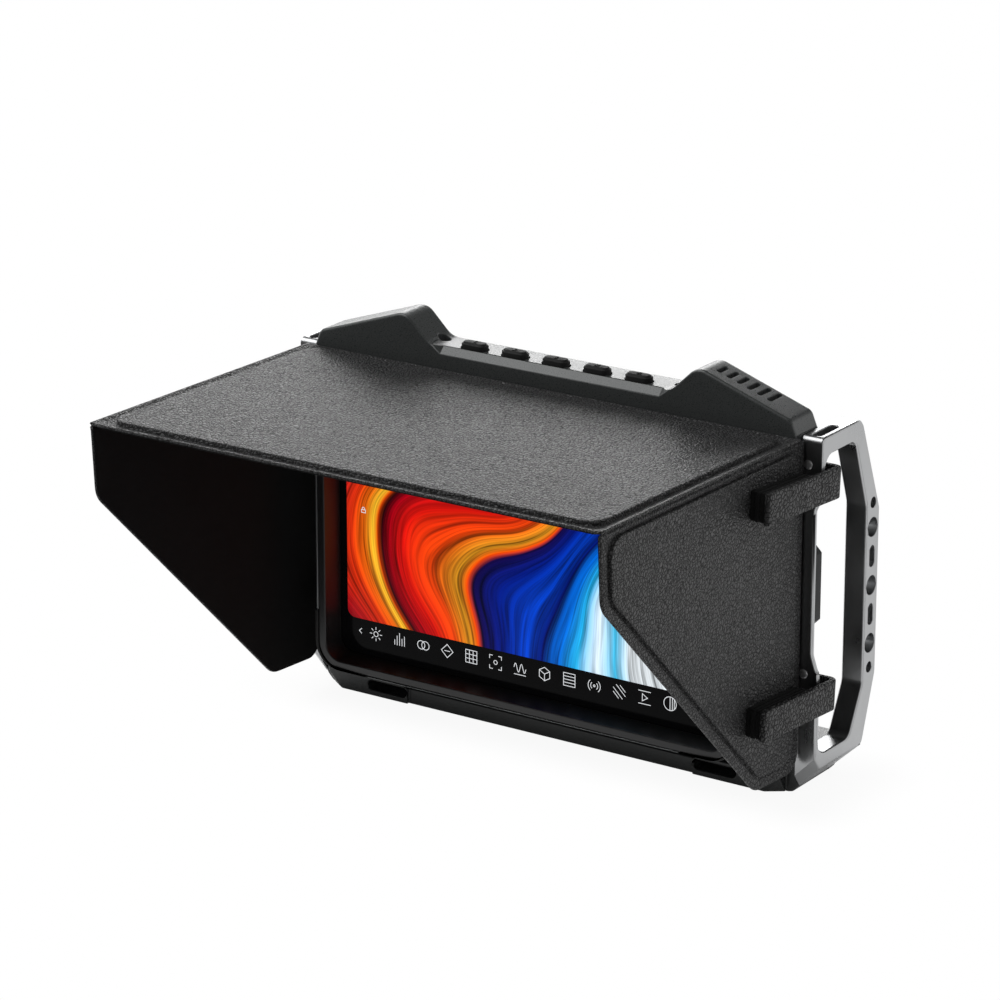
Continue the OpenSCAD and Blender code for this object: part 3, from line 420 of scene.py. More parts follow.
def rounded_window(f, x, z, settings, radius):
    """1 inside the picture and 0 outside: |max(|p - middle| - half + radius, 0)| < radius."""
    half_height = 0.5 * (settings.top - settings.bottom)
    up = f.math("SUBTRACT", z, settings.bottom + half_height)
    far = f.far(f.past(x, settings.half_width - radius), f.past(up, half_height - radius))
    return f.math("LESS_THAN", far, radius)


# ---------------------------------------------------------------- surfaces


def unit(v):
    """v / |v| along the last axis."""
    return v / np.linalg.norm(v, axis=-1, keepdims=True)


def outline(corners, radii, arc_steps=6, side_steps=6):
    """A closed outline with a round corner of radius r at each corner b, as one array.

    With u and w the unit vectors to the two neighbours and half the angle between them, the arc's
    middle is o = b + (u + w) / |u + w| * r / sin(half); it runs from b + u r / tan(half) to
    b + w r / tan(half), and the side steps lead straight to the next arc.
    """
    corners = np.asarray(corners, float)
    u = unit(np.roll(corners, 1, 0) - corners)
    w = unit(np.roll(corners, -1, 0) - corners)
    half = np.arccos(np.clip((u * w).sum(1), -1, 1)) / 2
    r = np.maximum(np.broadcast_to(radii, half.shape), 1e-5)
    o = corners + unit(u + w) * (r / np.sin(half))[:, None]
    start = corners + u * (r / np.tan(half))[:, None] - o
    end = corners + w * (r / np.tan(half))[:, None] - o
    first = np.arctan2(start[:, 1], start[:, 0])
    turn = (np.arctan2(end[:, 1], end[:, 0]) - first + 3 * np.pi) % (2 * np.pi) - np.pi
    turned = first[:, None] + turn[:, None] * np.linspace(0, 1, arc_steps + 1)
    arcs = o[:, None] + r[:, None, None] * np.stack([np.cos(turned), np.sin(turned)], -1)
    step = np.linspace(0, 1, side_steps + 1)[None, 1:-1, None]
    sides = arcs[:, -1:] * (1 - step) + np.roll(arcs[:, :1], -1, 0) * step
    return np.concatenate([arcs, sides], 1).reshape(-1, 2)


def stadium(long, wide, count):
    """Outline of a slot with round ends: a circle of radius wide / 2 pulled apart to the length long."""
    a = np.linspace(0, 2 * np.pi, count, endpoint=False) + np.pi / count
    return np.stack([np.cos(a) * wide / 2 + np.sign(np.cos(a)) * (long - wide) / 2, np.sin(a) * wide / 2], 1)


def skin(rings, closed=False):
    """Faces between rings of equal length: point (i, j) joins (i, j + 1), (i + 1, j + 1), (i + 1, j).

    rings has the shape (rings, points, 3). The first and last ring get a cap unless the rings close.
    """
    count, points = rings.shape[:2]
    i, j = np.meshgrid(np.arange(count if closed else count - 1), np.arange(points), indexing="ij")
    after, beside = (i + 1) % count, (j + 1) % points
    quads = np.stack([i * points + j, i * points + beside, after * points + beside, after * points + j], -1)
    faces = quads.reshape(-1, 4).tolist()
    if not closed:
        faces.append(list(range(points))[::-1])
        faces.append(list(range((count - 1) * points, count * points)))
    return rings.reshape(-1, 3), faces


def join(parts):
    """Several (points, faces) pairs as one."""
    points, faces, start = [], [], 0
    for p, f in parts:
        points.append(p)
        faces += [[start + k for k in face] for face in f]
        start += len(p)
    return np.concatenate(points), faces


def put(name, shape, finish, body=None, sharp=38.0):
    """Makes a piece from (points, faces), with its faces turned outwards, and lets it ride on a body."""
    mesh = bpy.data.meshes.new(name)
    mesh.from_pydata(shape[0].tolist(), [], shape[1])
    bm = bmesh.new()
    bm.from_mesh(mesh)
    bmesh.ops.remove_doubles(bm, verts=bm.verts, dist=1e-7)
    bmesh.ops.recalc_face_normals(bm, faces=bm.faces)
    bm.to_mesh(mesh)
    bm.free()
    return dress(name, mesh, finish, body, sharp)


def dress(name, mesh, finish, body, sharp=38.0):
    """Shades a mesh, gives it its finish and makes it a piece that rides on a body."""
    mesh.shade_smooth()
    mesh.set_sharp_from_angle(angle=math.radians(sharp))
    mesh.materials.clear()
    mesh.materials.append(finish)
    made = bpy.data.objects.new(name, mesh)
    bpy.context.scene.collection.objects.link(made)
    if body:
        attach(made, body)
    return made


def softened(name, node, width, finish, body, share=None, segments=3):
    """A merged copy of a CAD node whose sharp edges are rounded, and which stands for that node.

    share(x, y, z) gives each sharp edge's part of the width, from its middle, with x without its
    sign; without share every sharp edge gets the whole width.
    """
    source = NODES[node].data
    mesh = bpy.data.meshes.new(name)
    points = np.empty(len(source.vertices) * 3, np.float32)
    source.vertices.foreach_get("co", points)
    mesh.from_pydata(points.reshape(-1, 3).tolist(), [], [list(p.vertices) for p in source.polygons])
    bm = bmesh.new()
    bm.from_mesh(mesh)
    layer = bm.edges.layers.float.new("bevel_weight_edge")
    bmesh.ops.remove_doubles(bm, verts=bm.verts, dist=2e-6)
    bmesh.ops.dissolve_degenerate(bm, dist=1e-6, edges=bm.edges)
    bmesh.ops.dissolve_limit(bm, angle_limit=math.radians(0.4), verts=bm.verts, edges=bm.edges)
    edges = list(bm.edges)
    hard = np.array([e.calc_face_angle(0.0) for e in edges]) > math.radians(SHARP)
    weight = hard.astype(float)
    if share and hard.any():
        x, y, z = np.array([[v.co[:] for v in e.verts] for e in edges]).mean(1)[hard].T
        weight[hard] = share(np.abs(x), y, z)
    for edge, value in zip(edges, weight):
        edge[layer] = float(value)
    bm.to_mesh(mesh)
    bm.free()
    made = dress(name, mesh, finish, body, SHARP)
    bevel = made.modifiers.new("soft_edges", "BEVEL")
    bevel.limit_method = "WEIGHT"
    bevel.width = width
    bevel.segments = segments
    bevel.use_clamp_overlap = False
    bevel.harden_normals = True
    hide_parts(node)
    return made


def band(points, width, height, closed=False):
    """A low band with a box section along a flat line, in (a, b, h) coordinates.

    Each station is p +- n width / 2 at the heights 0 and height, where n is the line's normal,
    lengthened at the corners by 1 / cos of half the turn.
    """
    p = np.asarray(points, float)
    if closed:
        before, after = unit(p - np.roll(p, 1, 0)), unit(np.roll(p, -1, 0) - p)
    else:
        steps = unit(np.diff(p, axis=0))
        before, after = np.vstack([steps[:1], steps]), np.vstack([steps, steps[-1:]])
    along = unit(before + after)
    stretch = 1.0 / np.maximum((along * after).sum(1), 0.5)
    side = np.stack([-along[:, 1], along[:, 0]], 1) * (stretch * width / 2)[:, None]
    section = ((1.0, 0.0), (0.85, height), (-0.85, height), (-1.0, 0.0))
    return skin(np.stack([np.column_stack([p + a * side, np.full(len(p), h)]) for a, h in section], 1), closed)


def arc(x, y, r, start=0.0, end=360.0, count=24):
    """Points on a circle from one angle to another, without the last where it closes."""
    whole = abs(end - start) >= 360
    a = np.radians(np.linspace(start, end, count, endpoint=not whole))
    return np.stack([x + r * np.cos(a), y + r * np.sin(a)], 1)


def pressed(outer, board, outer_r, board_r, profile, reach, ripple, place):
    """A panel whose skin is pressed round a stiff board.

    Ring k lies at outer + (board - outer) * d / reach and at the height h for each (d, h) of the
    profile, in millimetres; further in, rings shrink to the middle, where the skin waves by
    ripple * (sin(120 a + 1) sin(95 b + 2) + 0.6 sin(61 a - 83 b)).
    """
    outer, board = np.asarray(outer, float), np.asarray(board, float)
    rings = []
    for d, h in np.array(profile) * MM:
        s = d / reach
        flat = outline(outer + (board - outer) * s, outer_r + (board_r - outer_r) * min(max(s, 0.0), 1.0))
        rings.append(np.column_stack([flat, np.full(len(flat), h)]))
    last = outer + (board - outer) * s
    centre = last.mean(0)
    for q in np.linspace(0.94, 0.02, 14):
        flat = outline(centre + (last - centre) * q, board_r * q)
        a, b = flat.T
        wave = np.sin(a * 120 + 1.0) * np.sin(b * 95 + 2.0) + 0.6 * np.sin(a * 61 - b * 83)
        rings.append(np.column_stack([flat, h + ripple * min(1.0, (1 - q) * 6) * wave]))
    points, faces = skin(np.stack(rings))
    return place(points), faces


def flocked_sheet(outer, outer_r, board_r, place):
    """A thin lining that lies flat, with a rounded edge."""
    return pressed(outer, inset(outer, LINING_EDGE), outer_r, board_r, LINING, LINING_EDGE, 0.0, place)


def mirrored(shape):
    """The same shape on the left side."""
    return shape[0] * np.array([-1.0, 1.0, 1.0]), shape[1]


SIDES = (("right", lambda shape: shape), ("left", mirrored))


def leaned(points, y, z, tilt):
    """Turns points about the X axis through (y, z), so that their front end rises by tilt.

    With u = y' - y and v = z' - z: y' becomes y + u cos + v sin, and z' becomes z - u sin + v cos.
    """
    u, v = points[..., 1] - y, points[..., 2] - z
    c, s = math.cos(tilt), math.sin(tilt)
    return np.stack([points[..., 0], y + u * c + v * s, z - u * s + v * c], -1)


def corner_box(x0, x1, y0, y1):
    return [[x0, y0], [x1, y0], [x1, y1], [x0, y1]]


def inset(corners, d):
    """Moves every side of a counter-clockwise outline inwards by d."""
    p = np.asarray(corners, float)
    along = unit(np.roll(p, -1, 0) - p)
    a = np.stack([-along[:, 1], along[:, 0]], 1)
    before = np.roll(a, 1, 0)
    return p + (before + a) * d / (1 + (before * a).sum(1))[:, None]


# Degrees from which an edge counts as sharp.
SHARP = 28.0
# Round corners of a side panel's outline, of its board and of its lining, from its rear foot upwards.
WING_RADII = np.array([6, 0.6, 0.8, 9, 9]) * MM
BOARD_RADII = np.full(5, 6 * MM)
WING_LINING_RADII = np.array([5.8, 0.8, 0.8, 8.8, 8.8]) * MM
# Profiles of the hood's skin, as (distance from the edge, height) in millimetres.
EDGE = [(1.8, 0.0), (0.4, 0.0), (0.08, 0.06), (0.0, 0.25), (0.0, 0.62), (0.1, 0.8), (0.35, 0.9)]
BOARD = [(4.3, 0.75), (4.36, 1.25), (4.48, 1.54), (4.75, 1.68), (5.4, 1.72), (6.6, 1.72)]
TOP_RIM = [(0.7, 0.93), (1.1, 0.9), (1.5, 0.72), (2.0, 0.5), (2.8, 0.32), (3.6, 0.2), (4.05, 0.16), (4.24, 0.24)]
SIDE_RIM = [(1.6, 0.93), (2.7, 0.9), (3.3, 0.78), (3.7, 0.5), (4.0, 0.34), (4.22, 0.38)]
LINING = [(1.5, 0.0), (0.3, 0.0), (0.0, 0.15), (0.0, 0.3), (0.2, 0.46), (0.7, 0.5), (2.0, 0.5)]
LINING_EDGE = 1.5 * MM
STRAP_WIDTH, STRAP_EDGE = 10.4 * MM, 0.55 * MM
PIN_INSET = 1.5 * MM
# A fold's section as (x, z, crease) round its line, in millimetres: crease says how far the ribs rise.
FOLD = [
    (-1.1, 0.86, 0), (-0.8, 1.0, 0), (-0.4, 1.12, 0), (0.05, 1.06, 0), (0.26, 0.8, 0), (0.24, 0.5, 0.3),
    (-0.04, 0.28, 0.8), (-0.28, 0.06, 1), (-0.3, -0.16, 1), (-0.2, -0.38, 1), (0.06, -0.62, 0.6),
    (0.14, -1.0, 0), (0.1, -1.6, 0),
]  # fmt: skip


# ---------------------------------------------------------------- operators


class MONITOR_OT_stage(Operator):
    """Builds the pale floor, the studio lamps, the white surroundings and the camera"""

    bl_idname = "monitor.stage"
    bl_label = "Stage"

    def execute(self, context):
        settings = context.scene.monitor_looks.stage
        side_power = 0.1 * settings.key_power
        self.floor(settings)
        self.world(context.scene, settings)
        self.lamp("key_lamp", (-0.66, -0.42, 1.05), (1.0, 1.0), settings.key_power)
        self.lamp("side_lamp", (1.1, 0.35, 0.75), (0.9, 0.9), side_power)
        self.lamp("back_lamp", (-0.63, 0.95, 0.42), (0.9, 0.3), settings.back_power)
        self.camera(context.scene, settings)
        context.scene.view_settings.view_transform = "Standard"
        return {"FINISHED"}

    def floor(self, settings):
        """A flat grid that looks white, with a faint shadow close round the object.

        The shadow falls off with the distance from the rail's foot, max(|x| - 0.1, 0) and
        max(|y| - 0.015, 0). In mirrors the floor turns dark from dark_from to dark_to in front.
        """
        half, cells = 4.0, 8
        foot_x, foot_y, reach = 0.1, 0.015, 0.028
        dark_from, dark_to = -0.04, -0.17
        row = cells + 1
        line = np.linspace(-half, half, row)
        grid = np.stack(np.meshgrid(line, line, [0.0], indexing="ij"), -1)
        starts = np.add.outer(np.arange(cells) * row, np.arange(cells)).reshape(-1, 1)
        mesh = bpy.data.meshes.new("studio_floor")
        mesh.from_pydata(grid.reshape(-1, 3).tolist(), [], (starts + [0, row, row + 1, 1]).tolist())
        f = Finish("studio_floor", roughness=0.9, specular_ior_level=0.0)
        f.set("Base Color", f.mix(f.noise(half / 30), shade(settings.floor, 0.99), shade(settings.floor, 1.01)))
        x, y, _ = f.axes()
        rays = f.node("ShaderNodeLightPath").outputs
        front = f.span(y, dark_to, dark_from, settings.front_light, 1.0)
        seen = f.math("MAXIMUM", rays["Is Camera Ray"], rays["Is Transmission Ray"])
        seen = f.math("MAXIMUM", seen, f.math("MULTIPLY", rays["Is Glossy Ray"], front))
        white = f.node("ShaderNodeEmission", {"Color": (1, 1, 1), "Strength": seen}).outputs[0]
        away = f.far(f.past(x, foot_x), f.past(y, foot_y))
        deep = f.span(rays["Is Glossy Ray"], 0.0, 1.0, settings.shadow, 0.9)
        near = f.math("MULTIPLY", deep, f.span(away, 0.0, reach, 1.0, 0.0, smooth=True))
        lit = f.math("MAXIMUM", rays["Is Glossy Ray"], f.math("GREATER_THAN", seen, 0.0))
        shown = f.math("MULTIPLY", f.math("SUBTRACT", 1.0, near), lit)
        blend = f.node("ShaderNodeMixShader", {0: shown, 1: f.shader.outputs[0], 2: white})
        f.give(f.tree.nodes["Material Output"].inputs["Surface"], blend.outputs[0])
        mesh.materials.append(f.material)
        made = bpy.data.objects.new("studio_floor", mesh)
        bpy.context.scene.collection.objects.link(made)

    def world(self, scene, settings):
        """White to the camera, plain to matt surfaces; mirrors see white between a dark ceiling and a dark front."""
        world = bpy.data.worlds.new("studio_world")
        world.use_nodes = True
        scene.world = world
        w = Nodes(world.node_tree)
        rays = w.node("ShaderNodeLightPath").outputs
        way = w.node("ShaderNodeSeparateXYZ", {0: w.node("ShaderNodeTexCoord").outputs["Generated"]}).outputs
        blur, dark_to, dark_from = math.radians(4), -0.7, -0.25
        low, high = math.sin(settings.ceiling - blur), math.sin(settings.ceiling + blur)
        front = w.span(way["Y"], dark_to, dark_from, settings.front_light, 1.0)
        mirror = w.span(way["Z"], low, high, front, settings.ceiling_light)
        level = w.span(rays["Is Glossy Ray"], 0.0, 1.0, settings.fill, mirror)
        for ray in ("Is Camera Ray", "Is Transmission Ray"):
            level = w.span(rays[ray], 0.0, 1.0, level, 1.0)
        background = w.tree.nodes["Background"].inputs
        w.give(background["Color"], (1.0, 1.0, 1.0))
        w.give(background["Strength"], level)

    def lamp(self, name, place, size, power):
        """A rectangular lamp that looks at the origin."""
        data = bpy.data.lights.new(name, "AREA")
        data.shape = "RECTANGLE"
        data.size, data.size_y = size
        data.energy = power
        made = bpy.data.objects.new(name, data)
        made.location = place
        made.rotation_euler = (-made.location).to_track_quat("-Z", "Y").to_euler()
        bpy.context.scene.collection.objects.link(made)

    def camera(self, scene, settings):
        data = bpy.data.cameras.new("photo_camera")
        data.lens, data.sensor_width = settings.lens, 36.0
        data.clip_start, data.clip_end = 0.01, 50.0
        made = bpy.data.objects.new("photo_camera", data)
        made.location = settings.camera_place
        made.rotation_euler = (math.pi / 2 - settings.elevation, 0.0, settings.azimuth)
        scene.collection.objects.link(made)
        scene.camera = made


class MONITOR_OT_hood_top(Operator):
    """Builds the hood's top panel with its pressed board and its flocked lining"""

    bl_idname = "monitor.hood_top"
    bl_label = "Hood top"

    def execute(self, context):
        settings = context.scene.monitor_looks.hood
        low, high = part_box("hood_top_panel")
        tilt = settings.hood_tilt
        front = high.y - (high.y - low.y) / math.cos(tilt)
        flat = corner_box(low.x, high.x, front, high.y)
        lift = np.array([0, 0, low.z])
        shape = pressed(
            flat, inset(flat, settings.rim), 1.2 * MM, 6 * MM, EDGE + TOP_RIM + BOARD, settings.rim, settings.ripple,
            lambda p: leaned(p + lift, high.y, low.z, tilt),
        )  # fmt: skip
        grain = leather("hood_grain", settings.leather, settings.pebble, settings.grain_depth)
        top = put("hood_top", shape, grain, "root")
        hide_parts("hood_top_panel", "hood_top_board")
        lining_low, lining_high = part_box("hood_top_lining")
        flat = corner_box(lining_low.x, lining_high.x, front + 0.4 * MM, lining_high.y)
        shape = flocked_sheet(
            flat, 1.5 * MM, 3 * MM, lambda p: leaned(p * np.array([1, 1, -1]) + lift, high.y, low.z, tilt)
        )
        flocked = put("hood_top_flock", shape, flock("lining_flock", settings.lining), "root")
        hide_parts("hood_top_lining")
        return {"FINISHED"}


class MONITOR_OT_hood_wings(Operator):
    """Builds the hood's two side panels with their linings, and the folds that join them to the top"""

    bl_idname = "monitor.hood_wings"
    bl_label = "Hood side panels"

    def execute(self, context):
        settings = context.scene.monitor_looks.hood
        grain = bpy.data.materials["hood_grain"]
        flocked = bpy.data.materials["lining_flock"]
        low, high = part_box("wing_right_panel")
        corners = self.corners(settings, low, high, 0.0)
        board = inset(self.corners(settings, low, high, settings.rim - settings.rim_at_fold), settings.rim)
        panel = pressed(
            corners, board, WING_RADII, BOARD_RADII, EDGE + SIDE_RIM + BOARD, settings.rim, settings.ripple,
            lambda p: np.stack([low.x + p[:, 2], p[:, 0], p[:, 1]], 1),
        )  # fmt: skip
        lining = flocked_sheet(
            inset(corners, 0.25 * MM), WING_LINING_RADII, np.full(5, 4 * MM),
            lambda p: np.stack([low.x - p[:, 2], p[:, 0], p[:, 1]], 1),
        )  # fmt: skip
        top_low, top_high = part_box("hood_top_panel")
        fold = self.fold(settings, top_low, top_high)
        for side, turn in SIDES:
            body = "wing_" + side
            made = put(f"hood_wing_{side}", turn(panel), grain, body)
            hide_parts(f"wing_{side}_panel", f"wing_{side}_board")
            made = put(f"hood_wing_{side}_flock", turn(lining), flocked, body)
            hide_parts(f"wing_{side}_lining")
            made = put(f"hood_fold_{side}", turn(fold), grain, None, sharp=60.0)
            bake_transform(made)
        return {"FINISHED"}

    def corners(self, settings, low, high, up):
        """A side panel's five (y, z) corners; its two upper ones are moved up."""
        rear_top = high.z - (high.y - low.y) * math.tan(settings.hood_tilt)
        foot = low.z - 0.35 * MM
        front = [low.y + 1.4 * MM, high.z - settings.front_height]
        corner = [high.y - settings.foot_length, foot + 1.5 * MM]
        return np.array([[high.y, foot], [high.y, rear_top + up], [low.y, high.z + up], front, corner])

    def fold(self, settings, top_low, top_high):
        """The skin over the fold: a line of (x, z) points round the edge and back inside, along Y.

        Ribs cross its crease: a point at the height b moves out by 0.4 w (1 + sin(2 pi (y - b) / s)) / 2,
        with s the distance between ribs and w falling from 1 in the crease to 0 beside it.
        """
        outer = np.array(FOLD)
        inner = outer[::-1] * np.array([1, 1, 0]) - np.array([0.35, 0.2, 0])
        a, b, crease = np.vstack([outer, inner]).T
        y = np.arange(top_low.y + 0.3 * MM, top_high.y - 0.2 * MM, settings.stitch / 6)[:, None]
        wave = 0.5 + 0.5 * np.sin(2 * np.pi * (y - b * MM) / settings.stitch)
        x = top_high.x + (a + 0.4 * crease * wave) * MM
        z = top_low.z + b * MM
        rings = np.stack(np.broadcast_arrays(x, y, z), -1)
        return skin(leaned(rings, top_high.y, top_low.z, settings.hood_tilt))


class MONITOR_OT_straps(Operator):
    """Builds the four straps, their hook and loop stacks and the turns behind the pillars"""

    bl_idname = "monitor.straps"
    bl_label = "Straps"

    def execute(self, context):
        settings = context.scene.monitor_looks.hood
        depth = 1.6 * settings.grain_depth
        coarse = leather("strap_grain", settings.strap_leather, settings.strap_pebble, depth, 0.5)
        tape = flock("strap_tape", (0.006, 0.006, 0.006), 0.5 * MM, 0.2 * MM)
        hinge_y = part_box("handle_right")[0].y
        for side, turn in SIDES:
            turns, pads = [], []
            for level in ("upper", "lower"):
                low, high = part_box(f"strap_{level}_right")
                place = self.placing(low, high, hinge_y, settings.strap_tilt, turn)
                leg = place(self.leg(low, high))
                made = put(f"strap_leg_{level}_{side}", leg, coarse, "wing_" + side)
                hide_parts(f"strap_{level}_{side}")
                pads.append(place(self.stack(low)))
                turns.append(place(self.turn(low, high, hinge_y)))
            made = put(f"strap_stacks_{side}", join(pads), tape, "wing_" + side)
            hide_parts(f"strap_pads_{side}")
            made = put(f"strap_turns_{side}", join(turns), coarse, "root")
            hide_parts(f"strap_loops_{side}")
        return {"FINISHED"}

    def placing(self, low, high, hinge_y, tilt, turn):
        """A function that tilts a shape and lifts it to a strap's middle height, where it passes the pillar."""
        ends = (low.y + high.y - 2 * hinge_y) * math.sin(tilt)
        z = (low.z + high.z) / 2 + ends / 2 / math.cos(tilt)
        return lambda shape: turn((leaned(shape[0] + np.array([0, 0, z]), hinge_y, z, tilt), shape[1]))

    def strip(self, line, angles, ends, thick):
        """A rounded section along (x, y) points p: p + (cos, sin)(angle) a in the plane, and b up."""
        box = corner_box(-thick / 2, thick / 2, -STRAP_WIDTH / 2, STRAP_WIDTH / 2)
        section = outline(box, STRAP_EDGE, 4, 3)
        scales = np.ones((len(line), 2))
        for place, scale in ends.items():
            scales[place] = scale
        a, b = (section * scales[:, None]).transpose(2, 0, 1)
        x, y = line.T[..., None]
        return skin(np.stack([x + np.cos(angles)[:, None] * a, y + np.sin(angles)[:, None] * a, b], -1))

    def leg(self, low, high):
        """The outer leg and the first quarter of its turn round the pillar."""
        thick, x = high.x - low.x, (low.x + high.x) / 2
        bend_y = high.y - thick / 2 - thick
        y = np.concatenate([low.y + np.array([0, 0.25, 0.6]) * MM, np.linspace(low.y, bend_y, 12)[1:]])
        straight = np.stack([np.full(len(y), x), y], 1)
        line = np.vstack([straight, arc(x - thick, bend_y, thick, 0, 90, 8)[1:]])
        angles = np.radians(np.concatenate([np.zeros(len(y)), np.linspace(0, 90, 8)[1:]]))
        return self.strip(line, angles, {0: (0.5, 0.9), 1: (0.88, 0.98)}, thick)

    def turn(self, low, high, hinge_y):
        """The part behind the pillar and the inner leg, which ends between pillar and panel."""
        thick, y = high.x - low.x, high.y - (high.x - low.x) / 2
        x0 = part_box("strap_loops_right")[0].x + thick / 2
        back = np.linspace((low.x + high.x) / 2 - thick - 0.05 * MM, x0 + thick, 6)
        bend = arc(x0 + thick, y - thick, thick, 90, 180, 8)[1:]
        inner = [[x0, hinge_y + 0.4 * MM], [x0, hinge_y]]
        line = np.vstack([np.stack([back, np.full(6, y)], 1), bend, inner])
        angles = np.radians(np.concatenate([np.full(6, 90.0), np.linspace(90, 180, 8)[1:], [180.0, 180.0]]))
        return self.strip(line, angles, {-1: (0.6, 0.94)}, thick)

    def stack(self, low):
        """Three layers of tape between the board and the strap, each a slab with rounded edges."""
        pad_low, pad_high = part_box("strap_pads_right")
        x0, thick, half = pad_low.x, pad_high.x - pad_low.x, 4.8 * MM
        layers = []
        for start, end, setback in ((0.0, 0.36, 0.9), (0.36, 0.66, 0.25), (0.66, 1.0, 0.6)):
            a, b = x0 + thick * start + 0.05 * MM, x0 + thick * end
            flat = corner_box(low.y + setback * MM, pad_high.y, -half, half)
            rings = []
            for d, h in ((0.5, 0.0), (0.12, 0.1), (0.0, 0.35), (0.0, 0.65), (0.12, 0.9), (0.5, 1.0)):
                ring = outline(inset(flat, d * MM), 0.8 * MM, 4, 8)
                rings.append(np.column_stack([np.full(len(ring), a + (b - a) * h), ring]))
            layers.append(skin(np.stack(rings)))
        return join(layers)


class MONITOR_OT_cage(Operator):
    """Rounds the handles, the bottom rail and the ridge, and makes the pins' heads"""

    bl_idname = "monitor.cage"
    bl_label = "Cage"

    def execute(self, context):
        settings = context.scene.monitor_looks.cage
        metal = blasted_metal("blasted_aluminium", settings.handle_metal)
        coat = powder_coat("ridge_paint", settings.powder_coat)
        small = settings.hole_edge / settings.handle_edge
        low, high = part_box("handle_right")
        # Where the grip's row of holes, the slot on top and the pins' holes run.
        row_y, row_z, row_half = high.y - 4.4 * MM, 64.1 * MM, 31 * MM
        slot_x, slot_z = 98.2 * MM, high.z - 7 * MM
        pin_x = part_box("pillar_pins")[1].x - PIN_INSET

        def handle_share(x, y, z):
            holes = (np.abs(y - row_y) < 3.5 * MM) & (np.abs(z - row_z) < row_half)
            slot = (z > slot_z) & (np.abs(x - slot_x) < 1.9 * MM)
            pins = (y < low.y + 2.5 * MM) & (np.abs(x - pin_x) < 1.4 * MM)
            return np.where(holes | slot, small, np.where(pins, 0.0, 1.0))

        for side, _ in SIDES:
            name, node = f"cage_handle_{side}", f"handle_{side}"
            softened(name, node, settings.handle_edge, metal, "root", handle_share, 1)
        # Painted shade: the rail gets a copy of the ridge's paint at half its brightness.
        dark = powder_coat("rail_shaded_paint", shade(settings.powder_coat, 0.5))
        softened("cage_rail", "bottom_rail", 0.5 * MM, dark, "root", self.rail_share)
        self.ridge(settings, coat)
        self.pins()
        return {"FINISHED"}

    def rail_share(self, x, y, z):
        """The tripod bore and the stud holes stay sharp."""
        stud_y, stud_z = 5 * MM, 10.6 * MM
        bore = np.hypot(x, y) < 5.2 * MM
        studs = (x < 93.9 * MM) & (x > 89 * MM) & (np.hypot(np.abs(y) - stud_y, z - stud_z) < 2 * MM)
        return np.where(bore | studs, 0.0, 1.0)

    def ridge(self, settings, coat):
        """Rounds the ridge: fully at its back and on its shoulders' front, hardly along the valley's front."""
        low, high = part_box("control_ridge")
        small = settings.hole_edge / settings.ridge_edge
        valley, shoulder = 46 * MM, 58 * MM

        def share(x, y, z):
            front, back = np.abs(y - low.y) < 0.05 * MM, np.abs(y - high.y) < 0.05 * MM
            ramp = np.interp(x, [valley, shoulder], [0.12, 1.0])
            inner = (y > low.y + 2 * MM) & (y < high.y - 2 * MM)
            holes = inner & (z > self.roof(x, low.z) - 0.4 * MM)
            width = np.where(front, ramp, np.where(back, 1.0, np.where(holes, 0.8 * small, 0.0)))
            return np.where(z < low.z + 0.1 * MM, 0.0, width)

        softened("cage_ridge", "control_ridge", settings.ridge_edge, coat, "root", share)

    def roof(self, x, base):
        """Height of the ridge's top surface above a place x along it."""
        knots = np.array([0, 46.6, 56.8, 91.6, 93.7]) * MM
        heights = base + np.array([10.4, 10.4, 20.3, 8.5, 3.4]) * MM
        return np.interp(x, knots, heights)

    def pins(self):
        """Domed heads on the pillars: r = R cos t, h = rise sin t, turned about the pin's axis."""
        low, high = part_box("pillar_pins")
        steel = turned_metal("pin_steel", (0.8, 0.8, 0.8), 0.45)
        t = np.radians(np.array([0, 25, 50, 70, 86]))
        spin = np.linspace(0, 2 * np.pi, 24, endpoint=False)
        radius, rise = 1.6, 0.45
        r = np.concatenate([[radius], radius * np.cos(t)])[:, None] * MM
        h = np.concatenate([[-1.0], rise * np.sin(t)])[:, None] * MM
        y = np.broadcast_to(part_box("handle_right")[0].y - h, (len(h), len(spin)))
        heads = []
        for x in (low.x + PIN_INSET, high.x - PIN_INSET):
            for z in (low.z + PIN_INSET, high.z - PIN_INSET):
                heads.append(skin(np.stack([x + r * np.cos(spin), y, z + r * np.sin(spin)], -1)))
        made = put("pillar_pin_heads", join(heads), steel, "root")
        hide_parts("pillar_pins")


